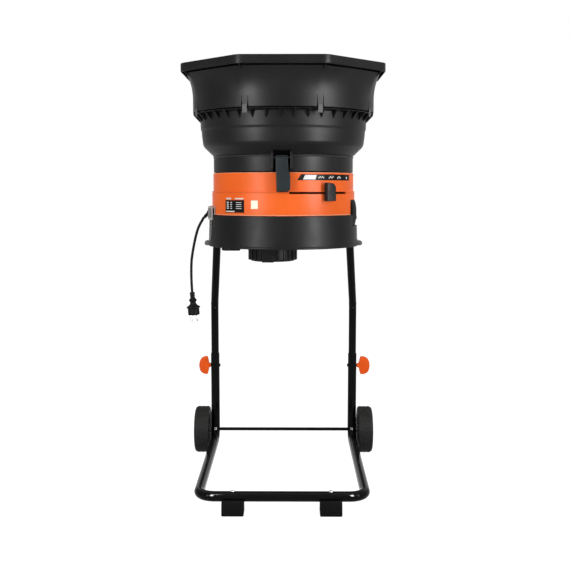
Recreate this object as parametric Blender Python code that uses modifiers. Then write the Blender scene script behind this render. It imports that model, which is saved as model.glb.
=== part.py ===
"""Leaf shredder: a shredding drum with an octagonal hopper on a wheeled tube frame.

Units are metres and +Z is up. The machine faces -Y. The drum stands on a vertical
axis at (0, DRUM_Y), and the origin lies on the floor under the middle of the outer box.
Angles round the drum are degrees from the front, growing towards +X.
"""
import math

import bmesh
import bpy
from mathutils import Matrix, Vector

# Clearances and counts
GAP = 0.0003
ROUND = 48
MID_ROUND = 24
SMALL_ROUND = 16
DRILL_SIDES = 12
SECTOR_STEP = 360 / ROUND

# Tube frame
FRAME_R = 0.0127
FRAME_WALL = 0.0013
FRAME_X = 0.2040
FRAME_Z = 0.0433
FRAME_TOP = 0.2987
BEND_R = 0.040
AXLE_Z = 0.0683
AXLE_R = 0.00475
AXLE_Y = 0.0984
BAR_Y = -0.4234
UPRIGHT_Y = 0.1000
LEG_R = 0.0111
LEG_BEND_Z = 0.4487
LEG_TOP = (0.1840, -0.0223, 0.6680)
LEG_BOTTOM = 0.2250
LEG_BEND_R = 0.060
KNOB_Z = 0.2626
FOOT_X = 0.1190
FOOT_SIZE = (0.0543, 0.0456, 0.0370)

# Wheels
WHEEL_IN = 0.2212
WHEEL_OUT = 0.2600
TYRE_BORE = 0.0460

# Hopper
RIM_APOTHEM = 0.2725
RIM_TOP = 1.1158
RIM_BOTTOM = 1.0935
HOPPER_R = 0.2500
SEAM_Z = 0.9915
WALL = 0.0030
NECK_R = 0.1940
NECK_Z = 0.8268

# Drum
RING_R = 0.1955
HOUSING_R = 0.1990
SPLIT_Z = 0.7745
SKIRT_R = 0.2055
SKIRT_FOOT_R = 0.2084
SKIRT_TOP = 0.7123
SKIRT_FOOT = 0.6270
DECK_Z = 0.7343
DECK_THICK = 0.0050
SELECTOR_Z = 0.7713
SELECTOR_THICK = 0.0030
SELECTOR_ANGLE = 37.5
SLIT = (6.0, 58.5)
SWITCH_Z = 0.7170
SWITCH_SPAN = (67.5, 112.5)

# Motor and head
MOTOR_X = -0.0300
SHAFT_R = 0.0050
BORE_R = 0.0053
HEAD_R = 0.0560
HEAD_Z = 0.7850
LINE_REACH = 0.1500

# Latches
LATCH_X = -0.0025
LATCH_PIVOT = (0.2035, 0.8650)
LATCH_WIDTH = 0.0350
LUG_X = (0.0220, 0.0270)

# Mains lead, in the plane of the drum axis: (x, z) from the gland to the plug
CORD_R = 0.0037
GLAND_START = (-0.2065, 0.7215)
GLAND_LENGTH = 0.0210
CORD_ROUTE = (
    (-0.2284, 0.6972), (-0.2365, 0.6832), (-0.2423, 0.6691), (-0.2464, 0.6550),
    (-0.2499, 0.6409), (-0.2529, 0.6267), (-0.2556, 0.6126), (-0.2580, 0.5984),
    (-0.2599, 0.5842), (-0.2609, 0.5672), (-0.2612, 0.5500), (-0.2611, 0.5330),
    (-0.2606, 0.5160), (-0.2600, 0.5030), (-0.2594, 0.4930),
)
PLUG_TILT = 4.0
PIN_TURN = 35.0

# The drum axis, placed so that the outer box is centred on the origin
FRONT_REACH = BAR_Y - FOOT_SIZE[1] / 2
DRUM_Y = -(FRONT_REACH + RIM_APOTHEM) / 2

for old in list(bpy.data.objects):
    bpy.data.objects.remove(old, do_unlink=True)
PARTS = bpy.data.collections.new("leaf_shredder")
CUTTERS = bpy.data.collections.new("cutters")
bpy.context.scene.collection.children.link(PARTS)
bpy.context.scene.collection.children.link(CUTTERS)


def paint(name, colour, roughness, metallic=0.0):
    """A plain material with one colour."""
    material = bpy.data.materials.new(name)
    material.use_nodes = True
    shader = material.node_tree.nodes["Principled BSDF"]
    shader.inputs["Base Color"].default_value = (*colour, 1.0)
    shader.inputs["Roughness"].default_value = roughness
    shader.inputs["Metallic"].default_value = metallic
    return material


BLACK_PLASTIC = paint("black_plastic", (0.022, 0.022, 0.024), 0.45)
GREY_PLASTIC = paint("grey_plastic", (0.35, 0.35, 0.34), 0.5)
ORANGE_PLASTIC = paint("orange_plastic", (0.95, 0.15, 0.03), 0.35)
BLACK_STEEL = paint("black_painted_steel", (0.012, 0.012, 0.013), 0.25, 0.2)
ZINC = paint("zinc_plated_steel", (0.55, 0.56, 0.57), 0.35, 1.0)
STEEL = paint("steel", (0.45, 0.45, 0.46), 0.3, 1.0)
COPPER = paint("copper", (0.72, 0.30, 0.14), 0.35, 1.0)
CARBON = paint("carbon", (0.04, 0.04, 0.045), 0.6)
RUBBER = paint("rubber", (0.018, 0.018, 0.018), 0.7)
NYLON = paint("nylon_line", (0.70, 0.12, 0.05), 0.4)
NICKEL = paint("nickel_pin", (0.7, 0.68, 0.62), 0.25, 1.0)


def place(name, data, material, location=(0, 0, 0), rotation=(0, 0, 0)):
    """Link a new object into the parts collection."""
    obj = bpy.data.objects.new(name, data)
    obj.location = location
    obj.rotation_euler = rotation
    if material is not None:
        data.materials.append(material)
    PARTS.objects.link(obj)
    return obj


def as_tool(obj):
    """Turn an object into a cutter or a joined-on shape that is not itself a part."""
    PARTS.objects.unlink(obj)
    CUTTERS.objects.link(obj)
    obj.hide_render = True
    obj.display_type = "WIRE"
    return obj


def combine(target, tool, operation="DIFFERENCE"):
    """Cut a tool out of a part, or join it on with UNION."""
    modifier = target.modifiers.new(tool.name, "BOOLEAN")
    modifier.operation = operation
    modifier.solver = "EXACT"
    modifier.object = tool
    return target


def turned(name, profile, material, location, rotation=(0, 0, 0), steps=ROUND):
    """A lathe shape: (radius, height) points, down the outer side first.

    A profile that starts on the axis is a solid, and any other one is closed into a ring.
    """
    mesh = bpy.data.meshes.new(name)
    count = len(profile)
    edges = [(i, i + 1) for i in range(count - 1)]
    if profile[0][0] > 0:
        edges.append((count - 1, 0))
    mesh.from_pydata([(r, 0, z) for r, z in profile], edges, [])
    obj = place(name, mesh, material, location, rotation)
    screw = obj.modifiers.new("turn", "SCREW")
    screw.steps = steps
    screw.render_steps = steps
    screw.use_merge_vertices = True
    screw.merge_threshold = 0.00005
    screw.use_smooth_shade = True
    return obj


def rod(name, radius, length, material, location, rotation=(0, 0, 0), steps=SMALL_ROUND):
    """A plain cylinder centred on its location, along its own Z."""
    half = length / 2
    profile = [(0, half), (radius, half), (radius, -half), (0, -half)]
    return turned(name, profile, material, location, rotation, steps)


def collar(name, outer, inner, low, high, material, location, rotation=(0, 0, 0), steps=SMALL_ROUND):
    """A plain ring between two heights."""
    profile = [(inner, high), (outer, high), (outer, low), (inner, low)]
    return turned(name, profile, material, location, rotation, steps)


def block(name, size, location, material, rounding=0.0, rotation=(0, 0, 0)):
    """A box centred on its location, with its edges rounded over."""
    mesh = bpy.data.meshes.new(name)
    form = bmesh.new()
    bmesh.ops.create_cube(form, size=1.0)
    bmesh.ops.scale(form, vec=size, verts=form.verts)
    form.to_mesh(mesh)
    form.free()
    obj = place(name, mesh, material, location, rotation)
    if rounding:
        bevel = obj.modifiers.new("rounding", "BEVEL")
        bevel.width = rounding
        bevel.segments = 2
        bevel.limit_method = "ANGLE"
    return obj


def on_drum(radius, angle):
    """A point round the drum axis, in the drum's own coordinates."""
    turn = math.radians(angle)
    return radius * math.sin(turn), -radius * math.cos(turn)


def sector(name, profile, span, material, step=SECTOR_STEP):
    """A (radius, height) outline swept round the drum axis over part of a turn."""
    start, end = span
    form = bmesh.new()
    verts = [form.verts.new((*on_drum(r, start), z)) for r, z in profile]
    face = form.faces.new(verts)
    bmesh.ops.spin(
        form, geom=[face, *face.edges, *face.verts], cent=(0, 0, 0), axis=(0, 0, 1),
        angle=math.radians(end - start), steps=max(1, round((end - start) / step)),
    )
    bmesh.ops.recalc_face_normals(form, faces=form.faces)
    mesh = bpy.data.meshes.new(name)
    form.to_mesh(mesh)
    form.free()
    return place(name, mesh, material, (0, DRUM_Y, 0))


def flat(name, loops, thickness, material, location, rotation=(0, 0, 0)):
    """A flat outline, with any holes in it, given a thickness about its own plane."""
    curve = bpy.data.curves.new(name, "CURVE")
    curve.dimensions = "2D"
    curve.fill_mode = "BOTH"
    curve.extrude = thickness / 2
    for loop in loops:
        spline = curve.splines.new("POLY")
        spline.points.add(len(loop) - 1)
        for point, (x, y) in zip(spline.points, loop):
            point.co = (x, y, 0, 1)
        spline.use_cyclic_u = True
    return place(name, curve, material, location, rotation)


def solid_from_curve(obj):
    """Replace a curve object with the same shape as a welded mesh, so it can be cut."""
    bpy.context.view_layer.update()
    graph = bpy.context.evaluated_depsgraph_get()
    mesh = bpy.data.meshes.new_from_object(obj.evaluated_get(graph))
    form = bmesh.new()
    form.from_mesh(mesh)
    bmesh.ops.remove_doubles(form, verts=form.verts, dist=0.00002)
    bmesh.ops.recalc_face_normals(form, faces=form.faces)
    form.to_mesh(mesh)
    form.free()
    name = obj.name
    matrix = obj.matrix_world.copy()
    bpy.data.objects.remove(obj, do_unlink=True)
    mesh.name = name
    solid = bpy.data.objects.new(name, mesh)
    solid.matrix_world = matrix
    PARTS.objects.link(solid)
    return solid


def tube(name, points, radius, material, wall=0.0, sides=8):
    """A round tube along points: a solid bar with caps, or a pipe with a wall."""
    curve = bpy.data.curves.new(name, "CURVE")
    curve.dimensions = "3D"
    curve.bevel_depth = radius
    curve.bevel_resolution = (sides - 4) // 2
    curve.use_fill_caps = not wall
    spline = curve.splines.new("POLY")
    spline.points.add(len(points) - 1)
    for point, place_at in zip(spline.points, points):
        point.co = (*place_at, 1)
    obj = place(name, curve, material)
    if wall:
        shell = obj.modifiers.new("wall", "SOLIDIFY")
        shell.thickness = wall
        shell.offset = -1
    return obj


def rounded(corners, radius, steps=4):
    """A path through corner points, with each corner turned as an arc."""
    path = [Vector(corners[0])]
    for before, corner, after in zip(corners, corners[1:], corners[2:]):
        corner = Vector(corner)
        inward = (Vector(before) - corner).normalized()
        outward = (Vector(after) - corner).normalized()
        half = inward.angle(outward) / 2
        run = radius / math.tan(half)
        centre = corner + (inward + outward).normalized() * (radius / math.sin(half))
        first = corner + inward * run - centre
        last = corner + outward * run - centre
        sweep = first.angle(last)
        for i in range(steps + 1):
            t = i / steps
            arm = first * math.sin((1 - t) * sweep) + last * math.sin(t * sweep)
            path.append(centre + arm / math.sin(sweep))
    path.append(Vector(corners[-1]))
    return path


def circle(radius, count, centre=(0.0, 0.0)):
    """Points round a circle."""
    turns = (2 * math.pi * i / count for i in range(count))
    return [(centre[0] + radius * math.cos(a), centre[1] + radius * math.sin(a)) for a in turns]


def arc(radius, start, end, count):
    """Points along an arc round the drum axis, at angles from the front."""
    return [on_drum(radius, start + (end - start) * i / (count - 1)) for i in range(count)]


# A part turned by this much lies along X, with its own +Z towards +X
ALONG_X = (0, math.pi / 2, 0)
TO_MINUS_X = (0, -math.pi / 2, 0)
SIDES = (("left", -1), ("right", 1))
# Stands a flat outline on edge across the machine: its X points forwards and its Y up
LIE_ACROSS = Matrix(((0, 0, 1, 0), (-1, 0, 0, 0), (0, 1, 0, 0), (0, 0, 0, 1)))


def across(side):
    """The turn that points a part's own +Z outwards on one side."""
    return ALONG_X if side > 0 else TO_MINUS_X


def frame_hole(name, radius, length, location, rotation):
    """A drill for the frame tubes."""
    return as_tool(rod(name, radius, length, None, location, rotation, DRILL_SIDES))


def lower_frame():
    """One bent tube: two uprights, two floor rails and the front cross bar."""
    left_top = (-FRAME_X, DRUM_Y + UPRIGHT_Y, FRAME_TOP)
    left_heel = (-FRAME_X, DRUM_Y + UPRIGHT_Y, FRAME_Z)
    left_toe = (-FRAME_X, DRUM_Y + BAR_Y, FRAME_Z)
    right = [(-x, y, z) for x, y, z in (left_toe, left_heel, left_top)]
    path = rounded([left_top, left_heel, left_toe, *right], BEND_R)
    frame = solid_from_curve(tube("lower_frame", path, FRAME_R, BLACK_STEEL, FRAME_WALL))
    for label, side in SIDES:
        bolt = (side * FRAME_X, DRUM_Y + UPRIGHT_Y, KNOB_Z)
        combine(frame, frame_hole("bolt_drill_" + label, 0.0034, 0.05, bolt, ALONG_X))
        axle = (side * FRAME_X, DRUM_Y + AXLE_Y, AXLE_Z)
        combine(frame, frame_hole("axle_drill_" + label, AXLE_R + GAP, 0.05, axle, ALONG_X))
        screw = (side * FOOT_X, DRUM_Y + BAR_Y, FRAME_Z)
        combine(frame, frame_hole("screw_drill_" + label, 0.0029, 0.04, screw, (0, 0, 0)))


def leg_direction(side):
    """The way the top of a leg runs, from its bend up into the drum."""
    bend = Vector((side * FRAME_X, DRUM_Y + UPRIGHT_Y, LEG_BEND_Z))
    top = Vector((side * LEG_TOP[0], DRUM_Y + LEG_TOP[1], LEG_TOP[2]))
    return bend, top, (top - bend).normalized()


def upper_legs():
    """Two tubes that slide into the uprights and crank forward into the drum."""
    for label, side in SIDES:
        bend, top, _ = leg_direction(side)
        foot = (bend.x, bend.y, LEG_BOTTOM)
        path = rounded([foot, bend, top], LEG_BEND_R, 3)
        leg = solid_from_curve(tube("upper_leg_" + label, path, LEG_R, BLACK_STEEL, FRAME_WALL))
        bolt = (side * FRAME_X, DRUM_Y + UPRIGHT_Y, KNOB_Z)
        combine(leg, frame_hole("leg_drill_" + label, 0.0034, 0.05, bolt, ALONG_X))


def leg_sockets():
    """Moulded sockets under the deck that hold the tops of the legs."""
    for label, side in SIDES:
        _, top, way = leg_direction(side)
        tilt = way.to_track_quat("Z", "Y").to_euler()
        socket = rod("leg_socket_" + label, 0.0140, 0.0470, BLACK_PLASTIC, top - way * 0.0175, tilt)
        pillar = block("socket_pillar_" + label, (0.0195, 0.0500, 0.0705),
                       (side * 0.17625, DRUM_Y - 0.015, 0.69525), None)
        bore = rod("socket_bore_" + label, LEG_R + GAP, 0.1000, None, top - way * 0.0495, tilt)
        combine(socket, as_tool(pillar), "UNION")
        combine(socket, as_tool(bore))


def leg_bolts_and_knobs():
    """A bolt through each pair of tubes, and the wing knob that clamps it."""
    outline = [(0.0133, 0.0), (0.0133, 0.0058), (0.0172, 0.0060), (0.0190, 0.0100), (0.0205, 0.0180),
               (0.0216, 0.0252), (0.0240, 0.0267), (0.0310, 0.0262), (0.0400, 0.0222), (0.0455, 0.0140),
               (0.0476, 0.0)]
    outline += [(x, -z) for x, z in reversed(outline[1:-1])]
    for label, side in SIDES:
        axis = (side * FRAME_X, DRUM_Y + UPRIGHT_Y, KNOB_Z)
        profile = [(0, 0.0262), (0.0030, 0.0262), (0.0030, -0.0130), (0.0050, -0.0130),
                   (0.0046, -0.0148), (0, -0.0156)]
        turned("leg_bolt_" + label, profile, BLACK_STEEL, axis, across(side), 16)
        upright = (math.pi / 2, 0, 0 if side > 0 else math.pi)
        knob = flat("wing_knob_" + label, [outline], 0.0120, ORANGE_PLASTIC, axis, upright)
        knob = solid_from_curve(knob)
        bore = rod("knob_bore_" + label, 0.0034, 0.0600, None, axis, across(side), 16)
        combine(knob, as_tool(bore))


def feet():
    """Rubber blocks that saddle the front bar, each with one screw from above."""
    width, depth, height = FOOT_SIZE
    for label, side in SIDES:
        centre = (side * FOOT_X, DRUM_Y + BAR_Y)
        foot = block("foot_" + label, FOOT_SIZE, (*centre, height / 2), RUBBER, 0.0025)
        saddle = rod("saddle_" + label, FRAME_R + GAP, width * 1.5, None, (*centre, FRAME_Z), ALONG_X)
        drill = rod("foot_drill_" + label, 0.0029, 0.0300, None, (*centre, 0.0270), (0, 0, 0), 12)
        combine(foot, as_tool(saddle))
        combine(foot, as_tool(drill))
        head = FRAME_Z + FRAME_R + GAP
        profile = [(0, head + 0.0032), (0.0035, head + 0.0030), (0.0055, head + 0.0014),
                   (0.0058, head), (0.0026, head), (0.0026, 0.0180), (0, 0.0150)]
        turned("foot_screw_" + label, profile, ZINC, (*centre, 0), (0, 0, 0), 16)


def running_gear():
    """The axle rod, with a wheel, a washer and a push-on cap at each end."""
    rod("axle_rod", AXLE_R, 0.5260, BLACK_STEEL, (0, DRUM_Y + AXLE_Y, AXLE_Z), ALONG_X, 16)
    shoulder = AXLE_Z - 0.0040
    bulge = WHEEL_OUT + 0.0055
    tyre = [(TYRE_BORE, bulge), (shoulder - 0.0050, WHEEL_OUT + 0.0030), (shoulder + 0.0020, WHEEL_OUT - 0.0005),
            (AXLE_Z, WHEEL_OUT - 0.0060), (AXLE_Z, WHEEL_IN + 0.0040), (shoulder + 0.0020, WHEEL_IN + 0.0006),
            (shoulder - 0.0050, WHEEL_IN), (TYRE_BORE, WHEEL_IN + 0.0030)]
    rim = TYRE_BORE - GAP
    web = (WHEEL_IN + WHEEL_OUT) / 2
    hub = [(AXLE_R + GAP, bulge), (0.0130, bulge), (0.0150, web + 0.0030), (rim - 0.0060, web + 0.0030),
           (rim - 0.0030, bulge - 0.0040), (rim, bulge - 0.0040), (rim, WHEEL_IN + 0.0040),
           (rim - 0.0040, web - 0.0020), (0.0130, web - 0.0020), (0.0130, WHEEL_IN), (AXLE_R + GAP, WHEEL_IN)]
    cap_in = bulge + GAP
    cap = [(0, cap_in + 0.0022), (0.0060, cap_in + 0.0016), (0.0095, cap_in), (0, cap_in)]
    washer = (FRAME_X + FRAME_R + GAP, WHEEL_IN - GAP)
    for label, side in SIDES:
        centre = (0, DRUM_Y + AXLE_Y, AXLE_Z)
        turned("tyre_" + label, tyre, RUBBER, centre, across(side), 32)
        turned("wheel_hub_" + label, hub, BLACK_PLASTIC, centre, across(side), MID_ROUND)
        turned("axle_cap_" + label, cap, ZINC, centre, across(side), 16)
        collar("axle_washer_" + label, 0.0105, AXLE_R + GAP, *washer, ZINC, centre, across(side), 16)


def octagon_share(angle):
    """How far an octagon of apothem 1, flat to the front, reaches at an angle."""
    off = (angle + 22.5) % 45 - 22.5
    return 1 / math.cos(math.radians(off))


def hopper_top():
    """The flared upper hopper: round at the seam, octagonal at the rim."""
    sections = [(RIM_TOP, RIM_APOTHEM, 1.0), (RIM_BOTTOM, RIM_APOTHEM, 1.0), (RIM_BOTTOM, 0.2690, 1.0),
                (1.0780, 0.2600, 0.95), (1.0620, 0.2535, 0.55), (1.0450, 0.2508, 0.25),
                (1.0270, HOPPER_R, 0.0), (SEAM_Z, HOPPER_R, 0.0)]
    form = bmesh.new()
    rings = []
    for z, reach, share in sections:
        ring = []
        for i in range(ROUND):
            angle = i * SECTOR_STEP
            radius = reach * (1 - share + share * octagon_share(angle))
            ring.append(form.verts.new((*on_drum(radius, angle), z)))
        rings.append(ring)
    for upper, lower in zip(rings, rings[1:]):
        for i in range(ROUND):
            j = (i + 1) % ROUND
            form.faces.new((upper[i], lower[i], lower[j], upper[j]))
    mesh = bpy.data.meshes.new("hopper_top")
    form.to_mesh(mesh)
    form.free()
    hopper = place("hopper_top", mesh, BLACK_PLASTIC, (0, DRUM_Y, 0))
    shell = hopper.modifiers.new("wall", "SOLIDIFY")
    shell.thickness = WALL
    shell.offset = -1
    shell.use_even_offset = True
    tongue = [(HOPPER_R - 0.0015, SEAM_Z + 0.0075), (HOPPER_R + 0.0030, SEAM_Z + 0.0075),
              (HOPPER_R + 0.0030, SEAM_Z - 0.0175), (HOPPER_R + 0.0003, SEAM_Z - 0.0175),
              (HOPPER_R + 0.0003, SEAM_Z + 0.0010), (HOPPER_R - 0.0015, SEAM_Z + 0.0010)]
    for k in range(8):
        middle = 22.5 + 45 * k
        snap = sector("snap_tongue_%d" % k, tongue, (middle - 1.6, middle + 1.6), None)
        combine(hopper, as_tool(snap), "UNION")


def latch_lug(name, front, side):
    """One of the ears on the neck that carry a latch's trunnion."""
    depth = (NECK_R - 0.0020, LATCH_PIVOT[0] + 0.0090)
    outline = [(depth[0], 0.8290), (depth[1] - 0.0070, 0.8290), (depth[1], 0.8360),
               (depth[1], 0.8780), (depth[1] - 0.0050, 0.8842), (depth[0], 0.8842)]
    thick = LUG_X[1] - LUG_X[0]
    x = LATCH_X + side * (LUG_X[0] + LUG_X[1]) / 2
    spin = 0 if front else math.pi
    lug = flat(name, [outline], thick, None, (0, 0, 0))
    lug = solid_from_curve(lug)
    facing = Matrix.Rotation(spin, 4, "Z") @ Matrix.Translation((x, 0, 0))
    lug.matrix_world = Matrix.Translation((0, DRUM_Y, 0)) @ facing @ LIE_ACROSS
    return as_tool(lug)


def hopper_base():
    """The lower hopper: a bulging band, a cone and the neck that stands on the drum."""
    profile = [
        (0.2460, 1.0060), (0.2460, SEAM_Z - 0.0005), (0.2495, SEAM_Z - 0.0005), (0.2495, SEAM_Z - 0.0035),
        (0.2305, 0.9850), (0.2290, 0.9470), (0.2268, 0.9415), (0.2258, 0.9280), (0.2230, 0.9060),
        (0.2195, 0.8985), (NECK_R, 0.8710), (NECK_R, NECK_Z), (0.1892, NECK_Z), (0.1892, 0.8120),
        (0.1862, 0.8120), (0.1862, 0.8340), (0.1910, 0.8390), (0.1910, 0.8720), (0.2168, 0.8995),
        (0.2200, 0.9070), (0.2258, 0.9470), (0.2275, 0.9870), (0.2430, 0.9895), (0.2430, 1.0060),
    ]
    hopper = turned("hopper_base", profile, BLACK_PLASTIC, (0, DRUM_Y, 0))
    for label, front in (("front", True), ("back", False)):
        for name, side in SIDES:
            combine(hopper, latch_lug("lug_%s_%s" % (label, name), front, side), "UNION")
        pivot = pivot_point(front)
        bore = rod("trunnion_bore_" + label, 0.0034, 0.0700, None, pivot, ALONG_X, 12)
        combine(hopper, as_tool(bore))


def pivot_point(front):
    """Where a latch turns."""
    reach, height = LATCH_PIVOT
    if front:
        return (LATCH_X, DRUM_Y - reach, height)
    return (-LATCH_X, DRUM_Y + reach, height)


def latches():
    """Two levers that swing down from the neck and hook under the ring's catches."""
    plate_in, plate_out = 0.0050, 0.0095
    hub = [(0.0065 * math.cos(math.radians(a)), 0.0065 * math.sin(math.radians(a))) for a in range(30, 271, 30)]
    outline = [(plate_out, 0.0), *hub, (plate_in, -0.0060), (plate_in, -0.0790), (-0.0045, -0.0806),
               (-0.0045, -0.0835), (-0.0015, -0.0865), (plate_in + 0.0010, -0.0886), (plate_out, -0.0860)]
    for label, front in (("front", True), ("back", False)):
        empty = bpy.data.objects.new("latch_axis_" + label, None)
        empty.location = pivot_point(front)
        empty.rotation_euler = (0, 0, 0 if front else math.pi)
        PARTS.objects.link(empty)
        lever = flat("latch_" + label, [outline], LATCH_WIDTH, BLACK_PLASTIC, (0, 0, 0))
        lever = solid_from_curve(lever)
        lever.parent = empty
        lever.matrix_world = empty.matrix_basis @ LIE_ACROSS
        pin = rod("trunnion_" + label, 0.0030, 0.0524, None, pivot_point(front), ALONG_X, 12)
        combine(lever, as_tool(pin), "UNION")


def drum_shells():
    """The orange upper ring and housing, and the black discharge skirt."""
    centre = (0, DRUM_Y, 0)
    ring = turned("upper_ring", [
        (0.1895, NECK_Z - GAP), (RING_R, NECK_Z - GAP), (RING_R, 0.7790), (0.1986, 0.7785),
        (0.1986, SPLIT_Z + GAP), (0.1925, SPLIT_Z + GAP), (0.1925, 0.8230), (0.1895, 0.8230),
    ], ORANGE_PLASTIC, centre)
    catch = [(RING_R - 0.0010, 0.7950), (RING_R + 0.0060, 0.7950), (RING_R + 0.0085, 0.7915),
             (RING_R + 0.0085, 0.7855), (RING_R - 0.0010, 0.7855)]
    for name, middle in (("catch_front", 0), ("catch_back", 180)):
        combine(ring, as_tool(sector(name, catch, (middle - 4.5, middle + 4.5), None)), "UNION")
    housing = turned("lower_housing", [
        (0.1957, SPLIT_Z), (HOUSING_R, SPLIT_Z), (HOUSING_R, 0.6990), (0.1960, 0.6990), (0.1960, 0.7310),
        (0.1870, 0.7310), (0.1870, 0.7340), (0.1960, 0.7340), (0.1960, 0.7660), (0.1880, 0.7685),
        (0.1880, SELECTOR_Z - GAP), (0.1957, SELECTOR_Z - GAP),
    ], ORANGE_PLASTIC, centre)
    slit = [(0.1945, SPLIT_Z + 0.0010), (0.2010, SPLIT_Z + 0.0010), (0.2010, SELECTOR_Z), (0.1945, SELECTOR_Z)]
    combine(housing, as_tool(sector("slit", slit, SLIT, None)))
    skirt = turned("skirt", [
        (HOUSING_R + GAP, SKIRT_TOP), (SKIRT_R - 0.0010, SKIRT_TOP), (SKIRT_R, SKIRT_TOP - 0.0010),
        (SKIRT_FOOT_R, SKIRT_FOOT), (SKIRT_FOOT_R - WALL, SKIRT_FOOT), (SKIRT_R - WALL, SKIRT_TOP - WALL),
        (HOUSING_R + GAP, SKIRT_TOP - WALL),
    ], BLACK_PLASTIC, centre)
    fin = [(0.2065, 0.6480), (0.2115, 0.6405), (0.2185, 0.6360), (0.2212, 0.6315), (0.2212, 0.6275),
           (0.2195, 0.6262), (0.2065, 0.6275)]
    for name, middle in (("hook_right", 90), ("hook_left", -90)):
        combine(skirt, as_tool(sector(name, fin, (middle - 3.0, middle + 3.0), None)), "UNION")
    window = [(0.1955, 0.7554), (0.2150, 0.7554), (0.2150, 0.6836), (0.1955, 0.6836)]
    window = as_tool(sector("switch_window", window, (SWITCH_SPAN[0] - 0.2, SWITCH_SPAN[1] + 0.2), None))
    combine(housing, window)
    combine(skirt, window)


def selector():
    """The grading ring that turns inside the housing, and the knob outside the slit."""
    edge = 0.1950
    tab_tip = 0.2060
    tab_half = 0.0040
    root = math.degrees(math.asin(tab_half / edge))
    tip = math.degrees(math.asin(tab_half / tab_tip))
    middle = SELECTOR_ANGLE
    rim = arc(edge, middle + root, middle + 360 - root, ROUND)
    rim += [on_drum(tab_tip, middle - tip), on_drum(tab_tip, middle + tip)]
    loops = [rim, circle(0.0900, MID_ROUND)]
    for k in range(8):
        start = middle + 6 + 45 * k
        loops.append(arc(0.1800, start, start + 33, 5) + arc(0.1020, start + 31, start + 2, 3))
    height = SELECTOR_Z + SELECTOR_THICK / 2
    flat("selector_ring", loops, SELECTOR_THICK, BLACK_PLASTIC, (0, DRUM_Y, height))
    x, y = on_drum(0.2076, middle)
    turn = (0, 0, math.radians(middle))
    knob = block("selector_knob", (0.0300, 0.0138, 0.0490), (x, DRUM_Y + y, 0.7764), BLACK_PLASTIC, 0.0030, turn)
    x, y = on_drum(0.2010, middle)
    slot = block("knob_slot", (0.0086, 0.0110, SELECTOR_THICK + 2 * GAP), (x, DRUM_Y + y, height), None, 0, turn)
    combine(knob, as_tool(slot))


def motor_deck():
    """The spider across the drum that carries the motor, with open bays between its arms."""
    loops = [circle(0.1955, ROUND), circle(0.0630, MID_ROUND, (MOTOR_X, 0))]
    hub_r = 0.0830
    outer_r = 0.1830
    arm = 0.0070
    for k in range(6):
        start, end = (math.radians(60 * k + 30 + d) for d in (0, 60))
        bay = []
        for radius_kind, first, last, count in (("out", start, end, 6), ("in", end, start, 4)):
            for i in range(count):
                bearing = first + (last - first) * i / (count - 1)
                slack = arm / (outer_r if radius_kind == "out" else hub_r)
                bearing = min(max(bearing, start + slack), end - slack)
                way = Vector((math.cos(bearing), math.sin(bearing)))
                if radius_kind == "in":
                    reach = hub_r
                else:
                    along = MOTOR_X * way.x
                    reach = -along + math.sqrt(along ** 2 - MOTOR_X ** 2 + outer_r ** 2)
                bay.append((MOTOR_X + way.x * reach, way.y * reach))
        loops.append(bay)
    flat("motor_deck", loops, DECK_THICK, BLACK_PLASTIC, (0, DRUM_Y, DECK_Z + DECK_THICK / 2))


def motor():
    """The motor: its can, ribbed end cap, stator, bearings and brushes."""
    axis = (MOTOR_X, DRUM_Y, 0)
    turned("motor_can", [
        (0.0166, 0.7520), (0.0560, 0.7520), (0.0620, 0.7460), (0.0620, 0.7340), (0.0780, 0.7340),
        (0.0780, 0.7305), (0.0620, 0.7305), (0.0620, 0.6050), (0.0590, 0.6050), (0.0590, 0.7420),
        (0.0166, 0.7420),
    ], BLACK_PLASTIC, axis, (0, 0, 0), MID_ROUND)
    cap = turned("motor_cap", [
        (0, 0.6072), (0.0132, 0.6072), (0.0132, 0.6165), (0.0180, 0.6165), (0.0180, 0.5895),
        (0.0625, 0.5895), (0.0625, 0.6400), (0.0660, 0.6400), (0.0660, 0.5895), (0.0600, 0.5835), (0, 0.5825),
    ], BLACK_PLASTIC, axis, (0, 0, 0), MID_ROUND)
    ribs = bmesh.new()
    for k in range(24):
        turn = Matrix.Rotation(2 * math.pi * k / 24, 4, "Z")
        shape = turn @ Matrix.Translation((0.0669, 0, 0.6113)) @ Matrix.Diagonal((0.0042, 0.0075, 0.0494, 1))
        bmesh.ops.create_cube(ribs, size=1.0, matrix=shape)
    mesh = bpy.data.meshes.new("cap_ribs")
    ribs.to_mesh(mesh)
    ribs.free()
    combine(cap, as_tool(place("cap_ribs", mesh, None, axis)), "UNION")
    pad = block("cap_pad", (0.0400, 0.0160, 0.0546), (MOTOR_X - 0.0085, DRUM_Y - 0.0625, 0.6082), None)
    hollow = rod("cap_hollow", 0.0625, 0.0700, None, (MOTOR_X, DRUM_Y, 0.6301), (0, 0, 0), MID_ROUND)
    combine(pad, as_tool(hollow))
    combine(cap, as_tool(pad), "UNION")
    collar("stator", 0.0582, 0.0400, 0.6400, 0.7000, STEEL, axis, (0, 0, 0), MID_ROUND)
    collar("bearing_upper", 0.0162, BORE_R, 0.7421, 0.7520, STEEL, axis)
    collar("bearing_lower", 0.0129, BORE_R, 0.6075, 0.6160, STEEL, axis)
    for label, side in SIDES:
        centre = (MOTOR_X + side * 0.02375, DRUM_Y, 0.6275)
        block("brush_" + label, (0.0180, 0.0060, 0.0100), centre, CARBON)


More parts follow.
